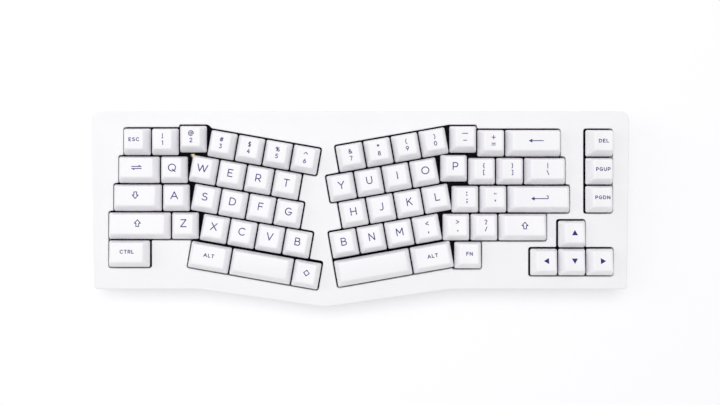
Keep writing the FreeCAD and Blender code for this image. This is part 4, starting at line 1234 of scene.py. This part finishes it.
def top_shell():
    """The upper case as one closed mesh in deck millimetres."""
    bm = bmesh.new()
    corners = [Vector(p) for p in CASE_OUTLINE]
    section = [(WALL, RIM_W - SHEET), (WALL, PARTING_W), (PARTING_EASE, PARTING_W),
               (0.0, PARTING_W + PARTING_EASE)]
    section += [(EDGE_ROUND * a, RIM_W - EDGE_ROUND * b) for a, b in quarter_turn(ROUND_STEPS)]
    section.append((EDGE_ROUND + EDGE_MARGIN, RIM_W))
    outer = swept_rings(bm, corners, section, -1, CASE_RADII, CORNER_ARC_STEPS)
    lip = [(LIP_WALL, RIM_W - SHEET), (LIP_WALL, LIP_FOOT_W), (0.0, LIP_FOOT_W)]
    lip += [(WINDOW_ROUND * a, RIM_W - WINDOW_ROUND * b) for a, b in quarter_turn(WINDOW_ROUND_STEPS)]
    lip.append((WINDOW_ROUND + WINDOW_MARGIN, RIM_W))
    tops, bottoms = [], []
    for window in WINDOWS:
        radii = [OUTER_CORNER if turns_left(window, i) else INNER_CORNER for i in range(len(window))]
        rings = swept_rings(bm, window, lip, 1, radii, WINDOW_ARC_STEPS)
        bottoms.append(rings[0])
        tops.append(rings[-1])
    fill_between(bm, outer[-1], tops)
    fill_between(bm, outer[0], bottoms)
    return bm


bm = top_shell()
print("top shell faces", len(bm.faces), "open edges", sum(not e.is_manifold for e in bm.edges))
top_mesh = mesh_from_bmesh(bm, "top_shell")


# %% [markdown]
# ### The port
# The lead's plug goes through a long round hole in the back wall, half in each half of the
# case. A boolean cuts it, as a mould's slide would leave it. Its rim isn't rounded, because
# the slide's edge leaves it crisp.

# %% Slots and cuts
SOCKET_U = -120.0
SOCKET_W = -3.37
SLOT_STEPS = 10
PORT_WIDTH = 12.4
PORT_HEIGHT = 6.6
PORT_FRONT_V = 58.5
PORT_BACK_V = 64.0


def slot_ring(width, height, v):
    """Places of an outline with half-round ends about the socket's middle, at one v."""
    radius = height / 2
    ring = []
    for side in (1, -1):
        for k in range(SLOT_STEPS + 1):
            angle = math.pi * (k / SLOT_STEPS - 0.5)
            ring.append((SOCKET_U + side * (width / 2 - radius + radius * math.cos(angle)), v,
                         SOCKET_W + side * radius * math.sin(angle)))
    return ring


def port_tool():
    """The space that the port takes out of the case."""
    bm = bmesh.new()
    closed_loft(bm, [slot_ring(PORT_WIDTH, PORT_HEIGHT, v) for v in (PORT_FRONT_V, PORT_BACK_V)])
    return bm


def with_boolean(mesh, tool_bmesh, operation):
    """The mesh with a closed tool joined to it or taken out of it."""
    blank = new_object("blank", mesh)
    tool = new_object("tool", mesh_from_bmesh(tool_bmesh, "tool"))
    cut = blank.modifiers.new("cut", "BOOLEAN")
    cut.operation = operation
    cut.solver = "MANIFOLD"
    cut.object = tool
    result = evaluated_mesh(blank)
    bpy.data.objects.remove(tool)
    return result


def moulded_piece(name, mesh, node, material):
    """A finished piece of the case in one material."""
    mesh = smoothed(mesh)
    set_material(mesh, material)
    finished_piece(name, mesh, "case", [node])
    print(name, "faces", len(mesh.polygons))


top_mesh = with_boolean(top_mesh, port_tool(), "DIFFERENCE")
moulded_piece("top_shell", top_mesh, "top_case", CASE_PLASTIC)


# %% [markdown]
# ## The bottom case
# The tray is a wedge: its wall hangs from the parting line, and its floor lies level over
# the desk. So the lower rings of its section follow a rule, a height over the desk, and the
# upper ones a height over the plate. Its bottom edge is rounded by 1.6 mm, which lets the
# board seem to float on its feet. Bosses and posts are joined to it, and the seats of the
# screws and feet are cut out, in the order in which a toolmaker would add and sink them.

# %% Bottom shell
BOTTOM_HEIGHT = 1.0
FLOOR_TOP_HEIGHT = 3.5
FLOOR_CORE_HEIGHT = 2.2
BOTTOM_ROUND = 1.6
BOSS_RADIUS = 2.8
BOSS_SIDES = 24
POST_RADIUS = 3.2
POST_TOP_W = -7.2
SCREW_HOLE_RADIUS = 1.4
HEAD_HOLE_RADIUS = 2.4
HOLE_SIDES = 32
SEAT_HEIGHT = 3.4
CLEAR_CUT = 1.0
BACK_SCREWS = [(-178.5, 57.3), (-25.0, 57.3), (178.9, 57.3)]
FRONT_SCREWS = [(-176.8, -54.4), (-125.0, -54.4), (78.0, -54.4), (177.2, -54.4)]
CASE_SCREWS = BACK_SCREWS + FRONT_SCREWS
PLATE_SCREWS = [(-115.3, 32.1), (-169.4, 44.0), (-25.0, 44.5),
                (-126.0, -48.8), (-22.5, -60.0), (146.4, 21.0), (104.0, -36.5)]
FEET = [(-154.2, 51.22), (154.2, 51.22), (-154.2, -43.69), (154.2, -43.69)]
FOOT_LENGTH = 26.0
FOOT_WIDTH = 8.0
FOOT_HEIGHT = 1.6
FOOT_CORNER = 2.0
FOOT_GAP = 0.2
DESK_TO_DECK = (Matrix.Translation(DECK_ORIGIN) @ Matrix.Rotation(TYPING_ANGLE, 4, "X")).inverted()


def desk_w(v, height):
    """The height over the plate of a point at v, from its height over the desk."""
    return (height - DECK_ORIGIN.z - v * math.sin(TYPING_ANGLE)) / math.cos(TYPING_ANGLE)


def over_desk(height):
    """The rule of a ring that lies level over the desk."""
    return lambda v: desk_w(v, height)


def turned_solid(bm, u, v, line, sides):
    """A solid turned about the w axis at a place, from (radius, w) pairs."""
    circle = [math.tau * k / sides for k in range(sides)]
    closed_loft(bm, [[(u + r * math.cos(a), v + r * math.sin(a), w) for a in circle] for r, w in line])


def foot_rings(x, y, rings):
    """Rounded rectangles of a foot, given as (inset, corner, height), in the deck frame."""
    placed = []
    for inset, corner, height in rings:
        half_v = FOOT_WIDTH / 2 - inset
        loop = rounded_rectangle(FOOT_LENGTH / 2 - inset, -half_v, half_v, corner, 1, 1)
        placed.append([DESK_TO_DECK @ Vector((x + p.x, y + p.y, height)) for p in loop])
    return placed


def bottom_shell():
    """The tray's own skin as a closed bmesh."""
    bm = bmesh.new()
    corners = [Vector(p) for p in CASE_OUTLINE]
    section = [(WALL, over_desk(FLOOR_TOP_HEIGHT)), (WALL, PARTING_W), (PARTING_EASE, PARTING_W),
               (0.0, PARTING_W - PARTING_EASE)]
    for a, b in quarter_turn(ROUND_STEPS):
        section.append((BOTTOM_ROUND * a, over_desk(BOTTOM_HEIGHT + BOTTOM_ROUND * b)))
    rings = swept_rings(bm, corners, section, -1, CASE_RADII, CORNER_ARC_STEPS)
    fill_between(bm, rings[0], [])
    fill_between(bm, rings[-1], [])
    return bm


bm = bottom_shell()
print("bottom shell open edges", sum(not e.is_manifold for e in bm.edges))
bottom_mesh = mesh_from_bmesh(bm, "bottom_shell")
added = bmesh.new()
for places, radius, top in ((CASE_SCREWS, BOSS_RADIUS, PARTING_W), (PLATE_SCREWS, POST_RADIUS, POST_TOP_W)):
    for u, v in places:
        turned_solid(added, u, v, [(radius, desk_w(v, FLOOR_CORE_HEIGHT)), (radius, top)], BOSS_SIDES)
bottom_mesh = with_boolean(bottom_mesh, added, "UNION")
sunk = port_tool()
for u, v in CASE_SCREWS:
    seat = desk_w(v, SEAT_HEIGHT)
    line = [(HEAD_HOLE_RADIUS, desk_w(v, -CLEAR_CUT)), (HEAD_HOLE_RADIUS, seat), (SCREW_HOLE_RADIUS, seat),
            (SCREW_HOLE_RADIUS, PARTING_W + CLEAR_CUT)]
    turned_solid(sunk, u, v, line, HOLE_SIDES)
foot_seat = [(-FOOT_GAP, FOOT_CORNER, height) for height in (-CLEAR_CUT, FOOT_HEIGHT)]
for x, y in FEET:
    closed_loft(sunk, foot_rings(x, y, foot_seat))
bottom_mesh = with_boolean(bottom_mesh, sunk, "DIFFERENCE")
moulded_piece("bottom_shell", bottom_mesh, "bottom_case", CASE_PLASTIC)


# %% [markdown]
# ### Feet
# Four moulded rubber pads stand in shallow seats. A pad's lower edge is soft, and two long
# grooves in its sole let air out, so that it grips the desk.

# %% Rubber feet
SOLE_EDGE = 0.45
SOLE_STEPS = 3
GROOVE_DEPTH = 0.35
GROOVE_HALF = 0.45
GROOVE_END = 3.0
GROOVE_PLACES = (-1.5, 1.5)


def foot_pad(bm, x, y):
    """One pad, from its flat back down to its rounded sole."""
    sole = [(SOLE_EDGE * a, FOOT_CORNER - SOLE_EDGE * a, SOLE_EDGE * b) for a, b in quarter_turn(SOLE_STEPS)]
    closed_loft(bm, foot_rings(x, y, [(0.0, FOOT_CORNER, FOOT_HEIGHT), *sole]))


def foot_groove(bm, x, y):
    """The space of one long groove in a sole."""
    half = FOOT_LENGTH / 2 - GROOVE_END
    line = [(-half, -GROOVE_HALF), (half, -GROOVE_HALF), (half, GROOVE_HALF), (-half, GROOVE_HALF)]
    closed_loft(bm, [[DESK_TO_DECK @ Vector((x + du, y + dv, height)) for du, dv in line]
                     for height in (-CLEAR_CUT, GROOVE_DEPTH)])


pads = bmesh.new()
grooves = bmesh.new()
for x, y in FEET:
    foot_pad(pads, x, y)
    for across in GROOVE_PLACES:
        foot_groove(grooves, x, y + across)
feet_mesh = with_boolean(mesh_from_bmesh(pads, "pads"), grooves, "DIFFERENCE")
moulded_piece("foot_pads", feet_mesh, "rubber_feet", FOOT_RUBBER)


# %% [markdown]
# ### The socket
# The socket's shell is drawn from sheet metal, so its mouth is rolled over and its wall is
# 0.35 mm thick. In the middle stands the tongue, a thin blade with a rounded front edge.

# %% Socket shell and tongue
SOCKET_WIDTH = 8.94
SOCKET_HEIGHT = 3.26
SOCKET_WALL = 0.35
SOCKET_FRONT_V = 53.8
SOCKET_FLOOR_V = 55.2
SOCKET_BACK_V = 61.1
ROLL = SOCKET_WALL / 2
ROLL_STEPS = 6
TONGUE_WIDTH = 6.6
TONGUE_HEIGHT = 0.7
TONGUE_END_V = 60.4
TONGUE_SECTION = [(SOCKET_FLOOR_V - 0.2, 0.0), (TONGUE_END_V - 0.35, 0.0), (TONGUE_END_V - 0.1, 0.12),
                  (TONGUE_END_V, 0.25)]


def socket_shell():
    """The drawn shell, closed at its front end, with a rolled mouth at its back."""
    section = [(0.0, SOCKET_FRONT_V), (0.0, SOCKET_BACK_V - ROLL)]
    for angle in [math.pi * k / ROLL_STEPS for k in range(1, ROLL_STEPS)]:
        section.append((ROLL * (1 - math.cos(angle)), SOCKET_BACK_V - ROLL * (1 - math.sin(angle))))
    section += [(SOCKET_WALL, SOCKET_BACK_V - ROLL), (SOCKET_WALL, SOCKET_FLOOR_V)]
    rings = [slot_ring(SOCKET_WIDTH - 2 * inset, SOCKET_HEIGHT - 2 * inset, v) for inset, v in section]
    bm = bmesh.new()
    closed_loft(bm, rings)
    return mesh_from_bmesh(bm, "shell")


def socket_tongue():
    """The blade in the socket, with its end brought to a soft edge."""
    rings = []
    for v, nip in TONGUE_SECTION:
        half_u = TONGUE_WIDTH / 2 - nip
        half_w = TONGUE_HEIGHT / 2 - nip
        rings.append([(SOCKET_U + a * half_u, v, SOCKET_W + b * half_w)
                      for a, b in ((-1, -1), (1, -1), (1, 1), (-1, 1))])
    bm = bmesh.new()
    closed_loft(bm, rings)
    return mesh_from_bmesh(bm, "tongue")


socket_mesh = join_meshes("socket_shell", [(socket_shell(), NICKEL), (socket_tongue(), SWITCH_NYLON)])
print("socket faces", len(socket_mesh.polygons))
finished_piece("socket_shell", socket_mesh, "case", ["usb_socket"])


# %% [markdown]
# ## Turned screws
# Every screw here is turned on a lathe, so its shape is one line swung round an axis. The
# tree does just that: it sweeps a profile line round a circle, cuts a cross recess into the
# head and sets a copy at each point, with a random turn, because no one lines up screws. The
# same tree makes the low brass screws on the plate and the zinc-plated ones under the case.

# %% Screw tree
AXIS_RADIUS = 0.002
TURNED_SIDES = 28
RECESS_ARM_SHARE = 0.24


def screw_tree():
    """Points become screws turned from a profile, with a cross recess in each head."""
    tree, given = new_tree("turned_screws", [
        ("Profile", "NodeSocketObject"), ("Head Top", "NodeSocketFloat"), ("Recess Width", "NodeSocketFloat"),
        ("Recess Depth", "NodeSocketFloat"), ("Facing", "NodeSocketFloat"), ("Seed", "NodeSocketInt"),
        ("Metal", "NodeSocketMaterial")])
    line = add_node(tree, "GeometryNodeObjectInfo", {"Object": given["Profile"]})
    circle = add_node(tree, "GeometryNodeCurvePrimitiveCircle", {
        "Resolution": TURNED_SIDES, "Radius": AXIS_RADIUS})
    upright = add_node(tree, "GeometryNodeSetCurveNormal", {"Curve": circle.outputs["Curve"]}, mode="Z_UP")
    swung = add_node(tree, "GeometryNodeCurveToMesh", {
        "Curve": upright.outputs["Curve"], "Profile Curve": line.outputs["Geometry"]})
    welded = add_node(tree, "GeometryNodeMergeByDistance", {
        "Geometry": swung.outputs["Mesh"], "Distance": 2 * AXIS_RADIUS})
    cut = add_node(tree, "GeometryNodeMeshBoolean", {"Mesh 1": welded.outputs["Geometry"]},
                   operation="DIFFERENCE", solver="EXACT")
    place = add_node(tree, "ShaderNodeCombineXYZ", {"Z": given["Head Top"]})
    long = given["Recess Width"]
    thin = maths(tree, "MULTIPLY", long, RECESS_ARM_SHARE)
    deep = maths(tree, "MULTIPLY", given["Recess Depth"], 2.0)
    for wide, narrow in ((long, thin), (thin, long)):
        size = add_node(tree, "ShaderNodeCombineXYZ", {"X": wide, "Y": narrow, "Z": deep})
        arm = add_node(tree, "GeometryNodeMeshCube", {"Size": size.outputs["Vector"]})
        set_in = add_node(tree, "GeometryNodeTransform", {
            "Geometry": arm.outputs["Mesh"], "Translation": place.outputs["Vector"]})
        tree.links.new(set_in.outputs["Geometry"], cut.inputs["Mesh 2"])
    spin = add_node(tree, "FunctionNodeRandomValue", {"Seed": given["Seed"]}, data_type="FLOAT")
    live(spin.inputs, "Max").default_value = math.tau
    screws = turned_copies(tree, {"Points": given["Geometry"], "Instance": cut.outputs["Mesh"]}, {
        "X": given["Facing"], "Z": live(spin.outputs, "Value")})
    return end_tree(tree, screws, given["Metal"])


SCREW_TREE = screw_tree()


# %% Turn and set the screws
DOME_STEPS = 6
HEAD_EDGE = 0.08
THREAD_START = 0.4
TIP_NIP = 0.3
PLATE_HEAD = 1.2
CASE_HEAD = 1.6
SCREW_REACH = 5.8
UPWARDS = 0.0
DOWNWARDS = math.pi


def screw_profile(head_radius, head_height, dome, shank_radius, shank_length):
    """The line of a pan-head screw, from the top of its head to its tip, as (radius, -height)."""
    dome_angles = [math.pi / 2 * k / DOME_STEPS for k in range(DOME_STEPS + 1)]
    line = [(head_radius * math.sin(a), head_height - dome * (1 - math.cos(a))) for a in dome_angles]
    line += [(head_radius, HEAD_EDGE), (head_radius - HEAD_EDGE, 0.0), (shank_radius, 0.0),
             (shank_radius, THREAD_START - shank_length), (shank_radius - TIP_NIP, -shank_length),
             (0.0, -shank_length)]
    return [(radius, -height) for radius, height in line]


def turned_screws(places, profile, values):
    """The mesh of screws of one kind, set at deck places."""
    line = poly_curve("profile", [profile])
    points = bpy.data.meshes.new("screw_places")
    points.from_pydata(places, [], [])
    mesh = run_tree(new_object("screw_places", points), SCREW_TREE, {"Profile": line, **values})
    bpy.data.objects.remove(line)
    return smoothed(mesh)


brass_screws = turned_screws(
    [(u, v, 0.0) for u, v in PLATE_SCREWS],
    screw_profile(head_radius=1.9, head_height=PLATE_HEAD, dome=0.85, shank_radius=1.0, shank_length=4.6),
    {"Head Top": PLATE_HEAD, "Recess Width": 2.3, "Recess Depth": 0.6, "Facing": UPWARDS, "Seed": 3,
     "Metal": BRASS},
)
finished_piece("turned_plate_screws", brass_screws, "case", ["plate_screws"])
case_screw_rows = []
for group in (BACK_SCREWS, FRONT_SCREWS):
    seat = desk_w(group[0][1], SEAT_HEIGHT)
    length = PARTING_W + SCREW_REACH - seat
    screws = turned_screws(
        [(u, v, seat) for u, v in group],
        screw_profile(head_radius=2.3, head_height=CASE_HEAD, dome=1.1, shank_radius=1.3,
                      shank_length=length),
        {"Head Top": CASE_HEAD, "Recess Width": 2.8, "Recess Depth": 0.8, "Facing": DOWNWARDS, "Seed": 5,
         "Metal": ZINC},
    )
    case_screw_rows.append((screws, ZINC))
case_screws = join_meshes("turned_case_screws", case_screw_rows)
finished_piece("turned_case_screws", case_screws, "case", ["case_screws"])
print("screw faces", len(brass_screws.polygons), len(case_screws.polygons))


# %% [markdown]
# ## Camera
# The photograph looks straight down on the deck, from about 44 cm above it. Its point of
# sight is up and to the left of the frame's middle, which the lens shift gives. 1.47 pixels
# of the 720 pixel frame are one millimetre on the deck.

# %% Camera
FRAME_WIDTH = 720
FRAME_HEIGHT = 405
FOCAL_PX = 648.0
EYE_DISTANCE = 442.0
EYE_U = -19.1
EYE_V = 46.4
SIGHT_PX = (332.1, 134.6)
SENSOR_MM = 36.0
CLIP_START = 0.01
camera_data = bpy.data.cameras.new("camera")
camera_data.sensor_width = SENSOR_MM
camera_data.lens = FOCAL_PX / FRAME_WIDTH * SENSOR_MM
camera_data.shift_x = (FRAME_WIDTH / 2 - SIGHT_PX[0]) / FRAME_WIDTH
camera_data.shift_y = (SIGHT_PX[1] - FRAME_HEIGHT / 2) / FRAME_WIDTH
camera_data.clip_start = CLIP_START
camera_data.dof.use_dof = False
camera = new_object("camera", camera_data)
camera.location = DECK_TO_ROOM @ Vector((EYE_U, EYE_V, SKIRT_W + EYE_DISTANCE))
camera.rotation_euler = (TYPING_ANGLE, 0, 0)
bpy.context.scene.camera = camera
shifts = [round(shift, 4) for shift in (camera_data.shift_x, camera_data.shift_y)]
print("lens", round(camera_data.lens, 2), "shift", *shifts)


# %% [markdown]
# ## Floor and light
# The floor is pale and plain. Camera rays see a little extra white in it, more of it far
# from the board, so that it reads as the photograph's white ground from every side, while it
# still takes the board's soft shadow. One large soft box hangs above the board and a little
# behind it, which throws the thin shadow along the front edge and leaves the front faces of
# the caps in light shade. A weaker box on the left makes the left flanks lighter than the
# right ones, as in the photograph, and the white world fills the rest.

# %% Floor and light
WHITE = (1.0, 1.0, 1.0, 1.0)
FLOOR_HALF = 3
FLOOR_GRAIN_MM = 2.0
GLOW_START = 0.3
GLOW_END = 1.8
NEAR_GLOW = 0.09
FAR_GLOW = 0.5
SKY_LIGHT = 0.7
SKY_SEEN = 1.0


def floor_material():
    """A white floor that keeps a shadow."""
    material, tree, place = new_material("white_sweep")
    path = add_node(tree, "ShaderNodeLightPath").outputs
    seen = maths(tree, "MAXIMUM", path["Is Camera Ray"], path["Is Glossy Ray"])
    seen = maths(tree, "MAXIMUM", seen, path["Is Transmission Ray"])
    away = add_node(tree, "ShaderNodeVectorMath", {0: place}, operation="LENGTH")
    white = add_node(tree, "ShaderNodeMapRange", {
        "Value": away.outputs["Value"], "From Min": GLOW_START, "From Max": GLOW_END, "To Min": NEAR_GLOW,
        "To Max": FAR_GLOW}, interpolation_type="SMOOTHSTEP")
    surface(tree, {
        "Base Color": linear("#F4F4F6"), "Emission Color": WHITE,
        "Roughness": spread(tree, noise(tree, place, FLOOR_GRAIN_MM), 0.85, 0.95),
        "Emission Strength": maths(tree, "MULTIPLY", seen, white.outputs["Result"]),
    })
    return material


floor_mesh = bpy.data.meshes.new("floor")
corners = [(a * FLOOR_HALF, b * FLOOR_HALF, 0) for a, b in ((-1, -1), (1, -1), (1, 1), (-1, 1))]
floor_mesh.from_pydata(corners, [], [(0, 1, 2, 3)])
set_material(floor_mesh, floor_material())
floor = new_object("floor", floor_mesh)

world = bpy.data.worlds.new("studio")
world.use_nodes = True
backdrop = world.node_tree.nodes["Background"]
backdrop.inputs["Color"].default_value = WHITE
sight = add_node(world.node_tree, "ShaderNodeLightPath").outputs["Is Camera Ray"]
world.node_tree.links.new(spread(world.node_tree, sight, SKY_LIGHT, SKY_SEEN), backdrop.inputs["Strength"])
bpy.context.scene.world = world


def soft_box(name, place, size, watts):
    """A square area light that looks at the board."""
    data = bpy.data.lights.new(name, "AREA")
    data.shape = "SQUARE"
    data.size = size
    data.energy = watts
    lamp = new_object(name, data)
    lamp.location = place
    lamp.rotation_euler = (-Vector(place)).to_track_quat("-Z", "Y").to_euler()


soft_box("top_light", place=(-0.08, 0.35, 1.35), size=1.0, watts=6.3)
soft_box("left_light", place=(-1.2, 0.2, 0.9), size=0.8, watts=2.3)
bpy.context.scene.view_settings.view_transform = "Standard"
